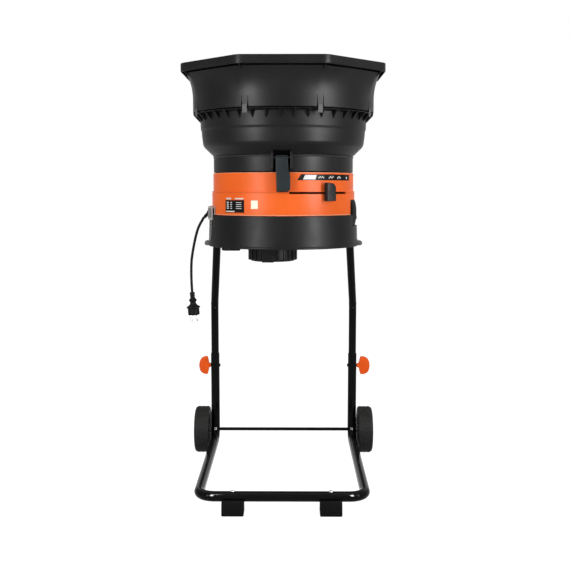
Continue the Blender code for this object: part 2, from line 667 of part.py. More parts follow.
def rotor():
    """Everything that spins: shaft, armature, commutator, fan and the line head."""
    axis = (MOTOR_X, DRUM_Y, 0)
    turned("rotor_shaft", [
        (0, 0.8060), (0.0042, 0.8060), (SHAFT_R, 0.8050), (SHAFT_R, 0.7800), (0.0120, 0.7800),
        (0.0120, 0.7755), (SHAFT_R, 0.7755), (SHAFT_R, 0.6078), (0, 0.6078),
    ], STEEL, axis, (0, 0, 0), SMALL_ROUND)
    collar("armature", 0.0388, BORE_R, 0.6420, 0.6980, COPPER, axis, (0, 0, 0), MID_ROUND)
    collar("commutator", 0.0140, BORE_R, 0.6200, 0.6350, COPPER, axis)
    blades = 9
    star = []
    for k in range(blades):
        for offset, radius in ((-0.30, 0.018), (-0.16, 0.0540), (0.16, 0.0540), (0.30, 0.018)):
            turn = 2 * math.pi * (k + offset) / blades
            star.append((radius * math.cos(turn), radius * math.sin(turn)))
    flat("cooling_fan", [star, circle(BORE_R, SMALL_ROUND)], 0.0120, GREY_PLASTIC, (MOTOR_X, DRUM_Y, 0.7140))
    turned("cutting_head", [
        (BORE_R, 0.7925), (0.0180, 0.7925), (0.0240, 0.7900), (HEAD_R - 0.0040, 0.7890), (HEAD_R, 0.7865),
        (HEAD_R, 0.7830), (HEAD_R - 0.0025, 0.7803), (BORE_R, 0.7803),
    ], BLACK_PLASTIC, axis, (0, 0, 0), MID_ROUND)
    start = HEAD_R + GAP
    for k in range(3):
        bearing = math.radians(90 + 120 * k)
        middle = (start + LINE_REACH) / 2
        centre = (MOTOR_X + middle * math.cos(bearing), DRUM_Y + middle * math.sin(bearing), HEAD_Z)
        lie = (0, math.pi / 2, bearing)
        rod("cutting_line_%d" % (k + 1), 0.0015, LINE_REACH - start, NYLON, centre, lie, 8)
    flat("head_nut", [circle(0.0092, 6), circle(BORE_R, SMALL_ROUND)], 0.0072, ZINC, (MOTOR_X, DRUM_Y, 0.7964))


def electrics():
    """Switch, reset button, interlock, terminal box with its capacitor, and the inlet cover."""
    box = sector("switch_box", [
        (0.1963, 0.7550), (0.1990, 0.7550), (0.2022, 0.7475), (0.2045, 0.7340), (0.2052, SWITCH_Z),
        (0.2042, 0.7000), (0.2018, 0.6880), (0.2002, 0.6840), (0.1963, 0.6840),
    ], SWITCH_SPAN, BLACK_PLASTIC)
    pocket = block("rocker_pocket", (0.0222, 0.0290, 0.0350), (0.2089, DRUM_Y, SWITCH_Z), None)
    combine(box, as_tool(pocket))
    pivot = (0.2015, DRUM_Y, SWITCH_Z)
    empty = bpy.data.objects.new("rocker_axis", None)
    empty.location = pivot
    empty.rotation_euler = (0, math.radians(-6), 0)
    PARTS.objects.link(empty)
    rocker = block("switch_rocker", (0.0045, 0.0276, 0.0320), (0.00075, 0, 0), BLACK_PLASTIC, 0.0010)
    rocker.parent = empty
    reset_y = DRUM_Y + 0.0360
    hole = rod("reset_hole", 0.0063, 0.0200, None, (0.2072, reset_y, SWITCH_Z), ALONG_X)
    combine(box, as_tool(hole))
    button = [(0, 0.2052), (0.0048, 0.2052), (0.0060, 0.2040), (0.0060, 0.1995), (0, 0.1995)]
    turned("reset_button", button, GREY_PLASTIC, (0, reset_y, SWITCH_Z), ALONG_X, 16)
    x, y = on_drum(0.1845, 100)
    turn = (0, 0, math.radians(100))
    block("interlock_switch", (0.0220, 0.0120, 0.0160), (x, DRUM_Y + y, 0.8015), BLACK_PLASTIC, 0, turn)
    outer = (0.0430, 0.0600, 0.1212)
    middle = (-0.1435, DRUM_Y, 0.6732)
    case = block("terminal_box", outer, middle, BLACK_PLASTIC)
    inner = [size - 0.0040 for size in outer]
    void = block("terminal_void", (inner[0], inner[1], outer[2]), (middle[0], middle[1], middle[2] + 0.0020), None)
    combine(case, as_tool(void))
    rod("capacitor", 0.0110, 0.0450, GREY_PLASTIC, (middle[0], middle[1], 0.6376))
    cover = sector("inlet_cover", [
        (0.1995, 0.7370), (0.2090, 0.7370), (0.2115, 0.7340), (0.2115, 0.7020), (0.2100, 0.7000),
        (0.2062, 0.7000), (0.2062, 0.7128), (0.1995, 0.7128),
    ], (-112.5, -67.5), GREY_PLASTIC)
    x, z = GLAND_START
    drill = rod("gland_drill", 0.0083, 0.0400, None, (x, DRUM_Y, z), (0, math.radians(-135), 0))
    combine(cover, as_tool(drill))


def along_lead(start, distance, degrees_down):
    """A point at a distance from another, in the plane of the lead."""
    turn = math.radians(degrees_down)
    return start[0] - distance * math.cos(turn), start[1] - distance * math.sin(turn)


def smooth_route(points, spacing):
    """Points read at even steps from a smooth curve through a route's own points."""
    dense = []
    last = len(points) - 1
    for i in range(last):
        p0, p1, p2, p3 = (Vector(points[min(max(j, 0), last)]) for j in (i - 1, i, i + 1, i + 2))
        for step in range(12):
            t = step / 12
            dense.append(0.5 * ((2 * p1) + (p2 - p0) * t + (2 * p0 - 5 * p1 + 4 * p2 - p3) * t ** 2
                                + (3 * p1 - p0 - 3 * p2 + p3) * t ** 3))
    dense.append(Vector(points[-1]))
    reach = [0.0]
    for a, b in zip(dense, dense[1:]):
        reach.append(reach[-1] + (b - a).length)
    count = round(reach[-1] / spacing)
    path = [dense[0]]
    for k in range(1, count):
        goal = reach[-1] * k / count
        i = next(n for n, far in enumerate(reach) if far >= goal)
        share = (goal - reach[i - 1]) / (reach[i] - reach[i - 1])
        path.append(dense[i - 1].lerp(dense[i], share))
    path.append(dense[-1])
    return path, reach[-1]


def mains_lead():
    """The strain relief, the short lead that hangs at the left, and its two-pin plug."""
    relief = [(0, GLAND_LENGTH), (0.0050, GLAND_LENGTH), (0.0056, 0.0120), (0.0078, 0.0080), (0.0078, 0), (0, 0)]
    turned("cable_gland", relief, BLACK_PLASTIC, (GLAND_START[0], DRUM_Y, GLAND_START[1]),
           (0, math.radians(-135), 0), 16)
    exit_point = along_lead(GLAND_START, GLAND_LENGTH + GAP, 45)
    straight = along_lead(exit_point, 2 * CORD_R, 45)
    route = [(x, DRUM_Y, z) for x, z in (straight, *CORD_ROUTE)]
    path, length = smooth_route(route, 2.4 * 2 * CORD_R)
    path.insert(0, Vector((exit_point[0], DRUM_Y, exit_point[1])))
    tube("cord", path, CORD_R, RUBBER)
    print("cord length", round(length + 2 * CORD_R, 4), "exit", [round(v, 4) for v in path[0]])
    tilt = math.radians(PLUG_TILT)
    way = Vector((math.sin(tilt), 0, -math.cos(tilt)))
    start = path[-1] + way * GAP
    turn = (0, math.pi - tilt, 0)
    body = [(0, 0.0650), (0.0150, 0.0650), (0.0157, 0.0465), (0.0188, 0.0460), (0.0188, 0.0390),
            (0.0150, 0.0355), (0.0086, 0.0290), (0.0078, 0.0140), (0.0055, 0), (0, 0)]
    turned("plug", body, RUBBER, start, turn, MID_ROUND)
    spread = Matrix.Rotation(math.radians(PIN_TURN), 3, "Z") @ Vector((1, 0, 0))
    spread = (spread - way * spread.dot(way)).normalized()
    pin = [(0, 0.0190), (0.0014, 0.0190), (0.0024, 0.0175), (0.0024, 0), (0, 0)]
    for label, side in SIDES:
        foot = start + way * (0.0650 + GAP) + spread * side * 0.0095
        turned("plug_pin_" + label, pin, NICKEL, foot, turn, 12)


lower_frame()
upper_legs()
leg_sockets()
leg_bolts_and_knobs()
feet()
running_gear()
hopper_top()
hopper_base()
latches()
drum_shells()
selector()
motor_deck()
motor()
rotor()
electrics()
mains_lead()
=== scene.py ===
import math
import bmesh
import bpy
from mathutils import Matrix, Vector


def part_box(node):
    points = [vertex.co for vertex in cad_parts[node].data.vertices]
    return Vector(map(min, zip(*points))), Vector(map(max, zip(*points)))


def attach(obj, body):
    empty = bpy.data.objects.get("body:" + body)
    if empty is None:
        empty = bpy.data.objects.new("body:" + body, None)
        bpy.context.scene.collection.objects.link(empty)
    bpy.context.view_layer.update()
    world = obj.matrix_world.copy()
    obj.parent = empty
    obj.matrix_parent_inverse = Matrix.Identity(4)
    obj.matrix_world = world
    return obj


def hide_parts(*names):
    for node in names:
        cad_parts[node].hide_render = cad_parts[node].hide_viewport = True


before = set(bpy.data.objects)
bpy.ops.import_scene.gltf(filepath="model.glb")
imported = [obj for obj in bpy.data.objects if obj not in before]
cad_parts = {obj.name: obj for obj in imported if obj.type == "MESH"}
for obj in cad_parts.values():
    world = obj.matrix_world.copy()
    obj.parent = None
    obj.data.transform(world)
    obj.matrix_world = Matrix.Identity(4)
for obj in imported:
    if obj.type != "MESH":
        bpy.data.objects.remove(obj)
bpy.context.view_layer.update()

housing_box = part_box("lower_housing")
drum_y = (housing_box[0][1] + housing_box[1][1]) / 2
drum = Matrix.Translation((0, drum_y, 0))
scene = bpy.context.scene
scene.view_settings.view_transform = "Standard"


def added(name, data):
    """A new object in the scene."""
    thing = bpy.data.objects.new(name, data)
    scene.collection.objects.link(thing)
    return thing


camera = added("camera", bpy.data.cameras.new("camera"))
camera.data.sensor_width = 36
camera.data.lens = 56.37
camera.location = (0.022, drum_y - 2.52, 0.784)
camera.rotation_euler = (math.radians(90 - 6.13), 0, math.radians(0.395))
scene.camera = camera


def soft_box(name, bearing, distance, height, width, tall, watts, sheen_only=False):
    """A rectangular lamp on a bearing round the drum, in degrees from the front, aimed at it."""
    lamp = added(name, bpy.data.lights.new(name, "AREA"))
    lamp.data.shape = "RECTANGLE"
    lamp.data.size = width
    lamp.data.size_y = tall
    lamp.data.energy = watts
    turn = math.radians(bearing)
    lamp.location = (distance * math.sin(turn), drum_y - distance * math.cos(turn), height)
    aim = Vector((0, drum_y, 0.75)) - lamp.location
    lamp.rotation_euler = aim.to_track_quat("-Z", "Y").to_euler()
    lamp.visible_diffuse = not sheen_only
    return lamp


soft_box("soft_box_left", -39, 2.4, 1.05, 0.4, 1.6, 26)
soft_box("soft_box_right", 48, 2.4, 1.05, 0.4, 1.6, 24)
soft_box("soft_box_above", 0, 0.2, 3.0, 2.0, 2.0, 22)
sheen_boxes = [soft_box("sheen_left", -39, 2.3, 1.05, 0.3, 1.4, 95, sheen_only=True),
               soft_box("sheen_right", 48, 2.3, 1.05, 0.4, 1.4, 150, sheen_only=True)]
glint_boxes = [soft_box("glint_left", -21, 2.4, 1.6, 0.52, 1.6, 560, sheen_only=True),
               soft_box("glint_right", 21, 2.4, 1.6, 0.52, 1.6, 560, sheen_only=True)]


def fill(tree, socket, value):
    """Sets a socket to a value, or joins it to another node's socket."""
    if isinstance(value, bpy.types.NodeSocket):
        tree.links.new(value, socket)
    else:
        socket.default_value = value


def node(tree, kind, settings=None, **inputs):
    """A node with its settings made and its named inputs filled in or joined up."""
    made = tree.nodes.new(kind)
    for name, value in (settings or {}).items():
        setattr(made, name, value)
    for label, value in inputs.items():
        fill(tree, made.inputs[label.replace("_", " ")], value)
    return made


def reckoned(tree, operation, *terms):
    """What a maths node makes of its terms, which are numbers or sockets."""
    maths = node(tree, "ShaderNodeMath", {"operation": operation})
    for socket, term in zip(maths.inputs, terms):
        fill(tree, socket, term)
    return maths.outputs[0]


def ranged(tree, value, low, high, at_low=0.0, at_high=1.0):
    """A value carried over from one range to another, and held at its ends."""
    return node(tree, "ShaderNodeMapRange", Value=value, From_Min=low, From_Max=high, To_Min=at_low,
                To_Max=at_high).outputs[0]


def seen_directly(tree):
    """1 on the rays that show the background: from the camera, off a gloss or through a glass."""
    rays = node(tree, "ShaderNodeLightPath").outputs
    glossy = reckoned(tree, "MAXIMUM", rays["Is Camera Ray"], rays["Is Glossy Ray"])
    return reckoned(tree, "MAXIMUM", glossy, rays["Is Transmission Ray"])


room = bpy.data.worlds.new("white_room")
room.use_nodes = True
scene.world = room
tree = room.node_tree
strength = ranged(tree, seen_directly(tree), 0, 1, 0.36, 1)
# What the gloss reflects is darker from behind on the left, and from high up straight behind.
# The background itself stays white
heading = node(tree, "ShaderNodeTexCoord").outputs["Generated"]
way = node(tree, "ShaderNodeSeparateXYZ", Vector=heading).outputs
from_the_left = ranged(tree, way["X"], -0.60, -0.38, 0.55, 1)
beside = ranged(tree, reckoned(tree, "ABSOLUTE", way["X"]), 0.10, 0.22)
below = ranged(tree, way["Z"], 0.14, 0.24, 1, 0.08)
ahead = ranged(tree, way["Y"], 0, 0.3, 1, 0)
lit_part = reckoned(tree, "MAXIMUM", reckoned(tree, "MAXIMUM", beside, below), ahead)
reflected = reckoned(tree, "MULTIPLY", lit_part, from_the_left)
kept = reckoned(tree, "MAXIMUM", reflected, node(tree, "ShaderNodeLightPath").outputs["Is Camera Ray"])
background = tree.nodes["Background"]
background.inputs["Color"].default_value = (1, 1, 1, 1)
fill(tree, background.inputs["Strength"], reckoned(tree, "MULTIPLY", strength, kept))

reach = 9
floor_z = -0.0002
floor_corners = [(-reach, -reach, floor_z), (reach, -reach, floor_z), (reach, reach, floor_z),
                 (-reach, reach, floor_z)]
floor_mesh = bpy.data.meshes.new("floor")
floor_mesh.from_pydata(floor_corners, [], [(0, 1, 2, 3)])
pale_floor = bpy.data.materials.new("pale_floor")
pale_floor.use_nodes = True
tree = pale_floor.node_tree
matt = tree.nodes["Principled BSDF"]
matt.inputs["Base Color"].default_value = (0.6, 0.6, 0.6, 1)
matt.inputs["Roughness"].default_value = 0.9
matt.inputs["Specular IOR Level"].default_value = 0.1
glow = node(tree, "ShaderNodeEmission", Strength=1.6)
lit = node(tree, "ShaderNodeMixShader", Fac=reckoned(tree, "MULTIPLY", seen_directly(tree), 0.6))
fill(tree, lit.inputs[1], matt.outputs[0])
fill(tree, lit.inputs[2], glow.outputs[0])
fill(tree, tree.nodes["Material Output"].inputs["Surface"], lit.outputs[0])
floor_mesh.materials.append(pale_floor)
added("floor", floor_mesh)

# The mains lead: a short round lead out of a ribbed strain relief on the left of the drum, with
# a moulded two-pin plug. It hangs free, and the photograph shows its whole length.


def effect(name, inputs, outputs):
    """An empty shader group with named number sockets."""
    group = bpy.data.node_groups.new(name, "ShaderNodeTree")
    for label, value in inputs.items():
        group.interface.new_socket(label, in_out="INPUT",
                                   socket_type="NodeSocketFloat").default_value = value
    for label in outputs:
        group.interface.new_socket(label, in_out="OUTPUT", socket_type="NodeSocketFloat")
    return group, group.nodes.new("NodeGroupInput"), group.nodes.new("NodeGroupOutput")


def noise(tree, scale, detail):
    """A cloudy pattern that is fixed to the piece."""
    place = node(tree, "ShaderNodeTexCoord").outputs["Object"]
    return node(tree, "ShaderNodeTexNoise", Vector=place, Scale=scale, Detail=detail).outputs[0]


moulding_grain, given, made = effect("moulding grain", {"Grain Scale": 900, "Mottle Scale": 22},
                                     ["Height", "Mottle"])
fill(moulding_grain, made.inputs["Height"], noise(moulding_grain, given.outputs["Grain Scale"], 4))
broad = noise(moulding_grain, given.outputs["Mottle Scale"], 6)
fill(moulding_grain, made.inputs["Mottle"], ranged(moulding_grain, broad, 0.3, 0.7))

edge_wear, given, made = effect("edge wear", {"Width": 0.001, "Wear": 0.5}, ["Mask"])
rounded = node(edge_wear, "ShaderNodeBevel", {"samples": 4}, Radius=given.outputs["Width"])
lean = node(edge_wear, "ShaderNodeVectorMath", {"operation": "DOT_PRODUCT"})
fill(edge_wear, lean.inputs[0], node(edge_wear, "ShaderNodeNewGeometry").outputs["Normal"])
fill(edge_wear, lean.inputs[1], rounded.outputs[0])
sharp = ranged(edge_wear, lean.outputs["Value"], 0.985, 0.86)
broken = ranged(edge_wear, noise(edge_wear, 140, 5), 0.42, 0.62)
rubbed = reckoned(edge_wear, "MULTIPLY", sharp, broken)
fill(edge_wear, made.inputs["Mask"], reckoned(edge_wear, "MULTIPLY", rubbed, given.outputs["Wear"]))

settled_dust, given, made = effect("settled dust", {"Dust": 0.1}, ["Mask"])
normal = node(settled_dust, "ShaderNodeNewGeometry").outputs["Normal"]
upwards = node(settled_dust, "ShaderNodeSeparateXYZ", Vector=normal).outputs["Z"]
level = ranged(settled_dust, upwards, 0.2, 1)
lying = reckoned(settled_dust, "MULTIPLY", level, noise(settled_dust, 30, 8))
fill(settled_dust, made.inputs["Mask"], reckoned(settled_dust, "MULTIPLY", lying, given.outputs["Dust"]))


def blended(tree, share, plain, other):
    """The colour between two others, each a colour or a joined socket."""
    mix = node(tree, "ShaderNodeMix", {"data_type": "RGBA"})
    fill(tree, mix.inputs[0], share)
    for index, tone in ((6, plain), (7, other)):
        is_socket = isinstance(tone, bpy.types.NodeSocket)
        fill(tree, mix.inputs[index], tone if is_socket else (*tone, 1))
    return mix.outputs[2]


# The material slot that goes with each surface
slot_of = {}


def surface(name, colour, roughness, gloss=0.5, slot="black_plastic", metallic=0.0, grain=(900, 0.00002),
            mottle=(22, 0.08), worn=None, dust=0.0):
    """A material with moulded grain, a slight mottle, and rubbed edges and dust where it has them.
    Grain is its scale and height, mottle its scale and depth, worn its colour, width and strength."""
    material = bpy.data.materials.new(name)
    material.use_nodes = True
    slot_of[material.name] = slot
    tree = material.node_tree
    shader = tree.nodes["Principled BSDF"]
    texture = node(tree, "ShaderNodeGroup", {"node_tree": moulding_grain}, Grain_Scale=grain[0],
                   Mottle_Scale=mottle[0])
    spot = texture.outputs["Mottle"]
    deep = [c * (1 - mottle[1]) for c in colour]
    light = [min(1, c * (1 + mottle[1])) for c in colour]
    tone = blended(tree, spot, deep, light)
    if worn:
        rub = node(tree, "ShaderNodeGroup", {"node_tree": edge_wear}, Width=worn[1], Wear=worn[2])
        tone = blended(tree, rub.outputs["Mask"], tone, worn[0])
    if dust:
        film = node(tree, "ShaderNodeGroup", {"node_tree": settled_dust}, Dust=dust)
        tone = blended(tree, film.outputs["Mask"], tone, (0.30, 0.28, 0.25))
    fill(tree, shader.inputs["Base Color"], tone)
    patchy = ranged(tree, spot, 0, 1, roughness * 0.88, min(1, roughness * 1.12))
    fill(tree, shader.inputs["Roughness"], patchy)
    bump = node(tree, "ShaderNodeBump", Strength=1.0, Distance=grain[1], Height=texture.outputs["Height"])
    fill(tree, shader.inputs["Normal"], bump.outputs[0])
    shader.inputs["Metallic"].default_value = metallic
    shader.inputs["Specular IOR Level"].default_value = gloss
    return material


def geometry_tree(name, sizes):
    """An empty geometry tree that takes a mesh, named numbers and a material."""
    tree = bpy.data.node_groups.new(name, "GeometryNodeTree")
    tree.interface.new_socket("Start", in_out="INPUT", socket_type="NodeSocketGeometry")
    for label, value in sizes.items():
        kind = "NodeSocketInt" if isinstance(value, int) else "NodeSocketFloat"
        tree.interface.new_socket(label, in_out="INPUT", socket_type=kind).default_value = value
    tree.interface.new_socket("Finish", in_out="INPUT", socket_type="NodeSocketMaterial")
    tree.interface.new_socket("Result", in_out="OUTPUT", socket_type="NodeSocketGeometry")
    return tree, tree.nodes.new("NodeGroupInput"), tree.nodes.new("NodeGroupOutput")


def ended(tree, given, made, geometry):
    """The end of every tree: real geometry with its material."""
    real = node(tree, "GeometryNodeRealizeInstances", Geometry=geometry)
    coated = node(tree, "GeometryNodeSetMaterial", Geometry=real.outputs[0],
                  Material=given.outputs["Finish"])
    tree.links.new(coated.outputs[0], made.inputs[0])


axis_inputs = {"Count": 8, "First Angle": 0.0, "Step": 0.7854}
round_an_axis, given, made = geometry_tree("round an axis", axis_inputs)
number = node(round_an_axis, "GeometryNodeInputIndex").outputs[0]
turn = reckoned(round_an_axis, "MULTIPLY_ADD", number, given.outputs["Step"], given.outputs["First Angle"])
angles = node(round_an_axis, "ShaderNodeCombineXYZ", Z=turn)
spin = node(round_an_axis, "FunctionNodeEulerToRotation", Euler=angles.outputs[0])
spots = node(round_an_axis, "GeometryNodePoints", Count=given.outputs["Count"])
copies = node(round_an_axis, "GeometryNodeInstanceOnPoints", Points=spots.outputs[0],
              Instance=given.outputs["Start"], Rotation=spin.outputs[0])
ended(round_an_axis, given, made, copies.outputs[0])


def settled(thing, *spare):
    """The plain mesh of an object with its modifiers. The object and its spares are then removed."""
    graph = bpy.context.evaluated_depsgraph_get()
    result = bpy.data.meshes.new_from_object(thing.evaluated_get(graph))
    for item in (thing, *spare):
        bpy.data.objects.remove(item, do_unlink=True)
    return result


def grown(mesh, tree, **sizes):
    """The plain mesh that a geometry tree makes from a starting mesh."""
    seed = added("seed", mesh)
    modifier = seed.modifiers.new("grow", "NODES")
    modifier.node_group = tree
    for item in tree.interface.items_tree:
        value = sizes.get(item.name.replace(" ", "_"))
        if item.in_out == "INPUT" and value is not None:
            modifier[item.identifier] = value
    return settled(seed)


def ring_of(mesh, count, first=0.0):
    """Copies of a small piece round the Z axis, from a first angle in degrees."""
    return grown(mesh, round_an_axis, Count=count, First_Angle=math.radians(first),
                 Step=math.radians(360 / count))


def closed(form, place=Matrix()):
    """The finished mesh of a bmesh form, with its faces outwards, put in its place."""
    bmesh.ops.recalc_face_normals(form, faces=form.faces)
    mesh = bpy.data.meshes.new("piece")
    form.to_mesh(mesh)
    form.free()
    mesh.transform(place)
    return mesh


def turned(profile, steps, place=Matrix()):
    """A lathe shape about its own Z from (radius, height) points. Off the axis it closes to a ring."""
    form = bmesh.new()
    rings = []
    for radius, height in profile:
        count = steps if radius > 1e-6 else 1
        turns = [2 * math.pi * i / steps for i in range(count)]
        rings.append([form.verts.new((radius * math.sin(a), -radius * math.cos(a), height)) for a in turns])
    pairs = list(zip(rings, rings[1:]))
    if profile[0][0] > 1e-6:
        pairs.append((rings[-1], rings[0]))
    for upper, lower in pairs:
        for i in range(steps):
            j = (i + 1) % steps
            ends = [upper[i % len(upper)], lower[i % len(lower)], lower[j % len(lower)],
                    upper[j % len(upper)]]
            corners = list(dict.fromkeys(ends))
            if len(corners) > 2:
                form.faces.new(corners)
    return closed(form, place)


def eased(outline, radius, around=False, steps=3):
    """An outline with each corner rounded over, on an open or a closed run of points."""
    points = [Vector(p) for p in outline]
    count = len(points)
    result = []
    for i, corner in enumerate(points):
        if not around and i in (0, count - 1):
            result.append(tuple(corner))
            continue
        before = points[i - 1] - corner
        after = points[(i + 1) % count] - corner
        run = min(radius, 0.45 * before.length, 0.45 * after.length)
        first = corner + before.normalized() * run
        last = corner + after.normalized() * run
        for k in range(steps + 1):
            t = k / steps
            result.append(tuple(first * (1 - t) ** 2 + corner * (2 * t * (1 - t)) + last * t ** 2))
    return result


def joined(*meshes):
    """Several meshes as one."""
    form = bmesh.new()
    for mesh in meshes:
        form.from_mesh(mesh)
    result = bpy.data.meshes.new("piece")
    form.to_mesh(result)
    form.free()
    return result


stand = "stand_and_drum"
crease = math.radians(35)


def finished(name, mesh, material, *stands_for, body=stand, slot=None):
    """Puts a made piece into the scene, with its finish, its body and the nodes it stands for."""
    slot = slot or slot_of[material.name]
    mesh.name = name
    mesh.materials.clear()
    mesh.materials.append(material)
    mesh.shade_smooth()
    mesh.set_sharp_from_angle(angle=crease)
    piece = added(name, mesh)
    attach(piece, body)
    if stands_for:
        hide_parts(*stands_for)
    return piece


def at(x, y, z):
    """A shift by three lengths."""
    return Matrix.Translation((x, y, z))


def spun(degrees, axis):
    """A turn about a main axis."""
    return Matrix.Rotation(math.radians(degrees), 4, axis)


def smooth_route(points, spacing):
    """Points read at even steps from a smooth curve through a route's own points."""
    dense = []
    last = len(points) - 1
    for i in range(last):
        p0, p1, p2, p3 = (points[min(max(j, 0), last)] for j in (i - 1, i, i + 1, i + 2))
        for step in range(12):
            t = step / 12
            dense.append(0.5 * ((2 * p1) + (p2 - p0) * t + (2 * p0 - 5 * p1 + 4 * p2 - p3) * t ** 2
                                + (3 * p1 - p0 - 3 * p2 + p3) * t ** 3))
    dense.append(points[-1])
    along = [0.0]
    for a, b in zip(dense, dense[1:]):
        along.append(along[-1] + (b - a).length)
    count = round(along[-1] / spacing)
    path = [dense[0]]
    for k in range(1, count):
        goal = along[-1] * k / count
        i = next(n for n, far in enumerate(along) if far >= goal)
        path.append(dense[i - 1].lerp(dense[i], (goal - along[i - 1]) / (along[i] - along[i - 1])))
    return [*path, dense[-1]]


lead_radius = 0.0037
lead_rubber = surface("lead_rubber", (0.006, 0.006, 0.006), 0.5, 0.05, slot="rubber", grain=(1500, 0.00001),
                      dust=0.03)
nickel = surface("nickel_pin", (0.36, 0.35, 0.33), 0.34, slot="nickel", metallic=1.0,
                 grain=(2500, 0.000004))
sides = (("left", -1), ("right", 1))
relief_way = Vector((-1, 0, -1)).normalized()
relief_start = Vector((-0.2065, drum_y, 0.7215))
relief_length = 0.0210
relief = [(0, relief_length), (0.0044, relief_length), (0.0048, 0.0203)]
for ring in range(4):
    low = 0.0090 + 0.0026 * (3 - ring)
    relief += [(0.0045, low + 0.0020), (0.0051, low + 0.0014), (0.0051, low + 0.0004), (0.0045, low)]
relief += [(0.0060, 0.0070), (0.0070, 0.0050), (0.0070, 0), (0, 0)]
relief_place = Matrix.Translation(relief_start) @ spun(-135, "Y")
relief = turned(eased(relief, 0.0004), 32, relief_place)
gland = finished("strain_relief", relief, lead_rubber, "cable_gland", slot="black_plastic")
lead_exit = relief_start + relief_way * (relief_length + 0.0003)
route = [(-0.2284, 0.6972), (-0.2365, 0.6832), (-0.2423, 0.6691), (-0.2464, 0.6550), (-0.2499, 0.6409),
         (-0.2529, 0.6267), (-0.2556, 0.6126), (-0.2580, 0.5984), (-0.2599, 0.5842), (-0.2609, 0.5672),
         (-0.2612, 0.5500), (-0.2611, 0.5330), (-0.2606, 0.5160), (-0.2600, 0.5030), (-0.2594, 0.4930)]
route = [lead_exit + relief_way * 2 * lead_radius] + [Vector((x, drum_y, z)) for x, z in route]
lead_path = [lead_exit, *smooth_route(route, 0.004)]
lead_curve = bpy.data.curves.new("mains_lead", "CURVE")
lead_curve.dimensions = "3D"
lead_curve.bevel_depth = lead_radius
lead_curve.bevel_resolution = 6
lead_curve.use_fill_caps = True
spline = lead_curve.splines.new("POLY")
spline.points.add(len(lead_path) - 1)
for point, spot in zip(spline.points, lead_path):
    point.co = (*spot, 1)
lead_curve.materials.append(lead_rubber)
lead = added("mains_lead", lead_curve)
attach(lead, stand)
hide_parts("cord")
plug_tilt = math.radians(4)
plug_way = Vector((math.sin(plug_tilt), 0, -math.cos(plug_tilt)))
plug_start = lead_path[-1] + plug_way * 0.0003
plug_turn = Matrix.Rotation(math.pi - plug_tilt, 4, "Y")
plug_place = Matrix.Translation(plug_start) @ plug_turn
plug_profile = [(0, 0), (0.0058, 0), (0.0074, 0.0012), (0.0074, 0.0052), (0.0060, 0.0072), (0.0072, 0.0094),
                (0.0072, 0.0124), (0.0058, 0.0150), (0.0088, 0.0190), (0.0114, 0.0224), (0.0110, 0.0242),
                (0.0084, 0.0274), (0.0080, 0.0300), (0.0096, 0.0345), (0.0136, 0.0384), (0.0194, 0.0416),
                (0.0196, 0.0436), (0.0180, 0.0452), (0.0164, 0.0462), (0.0164, 0.0600), (0.0156, 0.0650),
                (0, 0.0650)]
rib = bmesh.new()
rib_place = at(0.0156, 0, 0.0555) @ Matrix.Diagonal((0.0016, 0.0014, 0.0130, 1))
bmesh.ops.create_cube(rib, size=1, matrix=rib_place)
grip = ring_of(closed(rib), 30)
grip.transform(plug_place)
body = turned(eased(plug_profile, 0.0009), 48, plug_place)
plug = finished("plug_body", joined(body, grip), lead_rubber, "plug")
spread = Matrix.Rotation(math.radians(35), 3, "Z") @ Vector((1, 0, 0))
spread = (spread - plug_way * spread.dot(plug_way)).normalized()
pin = eased([(0, 0.0190), (0.0010, 0.0189), (0.0019, 0.0181), (0.0024, 0.0168), (0.0024, 0), (0, 0)],
            0.0004)
for label, side in sides:
    foot = plug_start + plug_way * 0.0653 + spread * side * 0.0095
    finished("contact_pin_" + label, turned(pin, 20, Matrix.Translation(foot) @ plug_turn),
                         nickel, "plug_pin_" + label)

# The lower frame: one 25.4 mm steel tube, bent into two uprights, two floor rails and the front
# bar, and painted gloss black. Its corners are bent on a 40 mm former.
tube_inputs = {"Tube Radius": 0.0127, "Bend Radius": 0.04, "Bend Steps": 10, "Sides": 40}
tube_along, given, made = geometry_tree("tube along a path", tube_inputs)
line = node(tube_along, "GeometryNodeMeshToCurve", Mesh=given.outputs["Start"])
bent = node(tube_along, "GeometryNodeFilletCurve", {"mode": "POLY"}, Curve=line.outputs[0],
            Radius=given.outputs["Bend Radius"], Count=given.outputs["Bend Steps"])
outline = node(tube_along, "GeometryNodeCurvePrimitiveCircle", Resolution=given.outputs["Sides"],
               Radius=given.outputs["Tube Radius"])
pipe = node(tube_along, "GeometryNodeCurveToMesh", Curve=bent.outputs[0], Profile_Curve=outline.outputs[0])
ended(tube_along, given, made, pipe.outputs[0])


def bent_tube(corners, radius, bend, wall):
    """A tube bent through corner points, with its wall's thickness showing at the open ends."""
    line = bpy.data.meshes.new("path")
    line.from_pydata(corners, [(i, i + 1) for i in range(len(corners) - 1)], [])
    form = bmesh.new()
    form.from_mesh(grown(line, tube_along, Tube_Radius=radius, Bend_Radius=bend))
    pipe = added("pipe", closed(form))
    shell = pipe.modifiers.new("wall", "SOLIDIFY")
    shell.thickness = wall
    shell.offset = -1
    return settled(pipe)


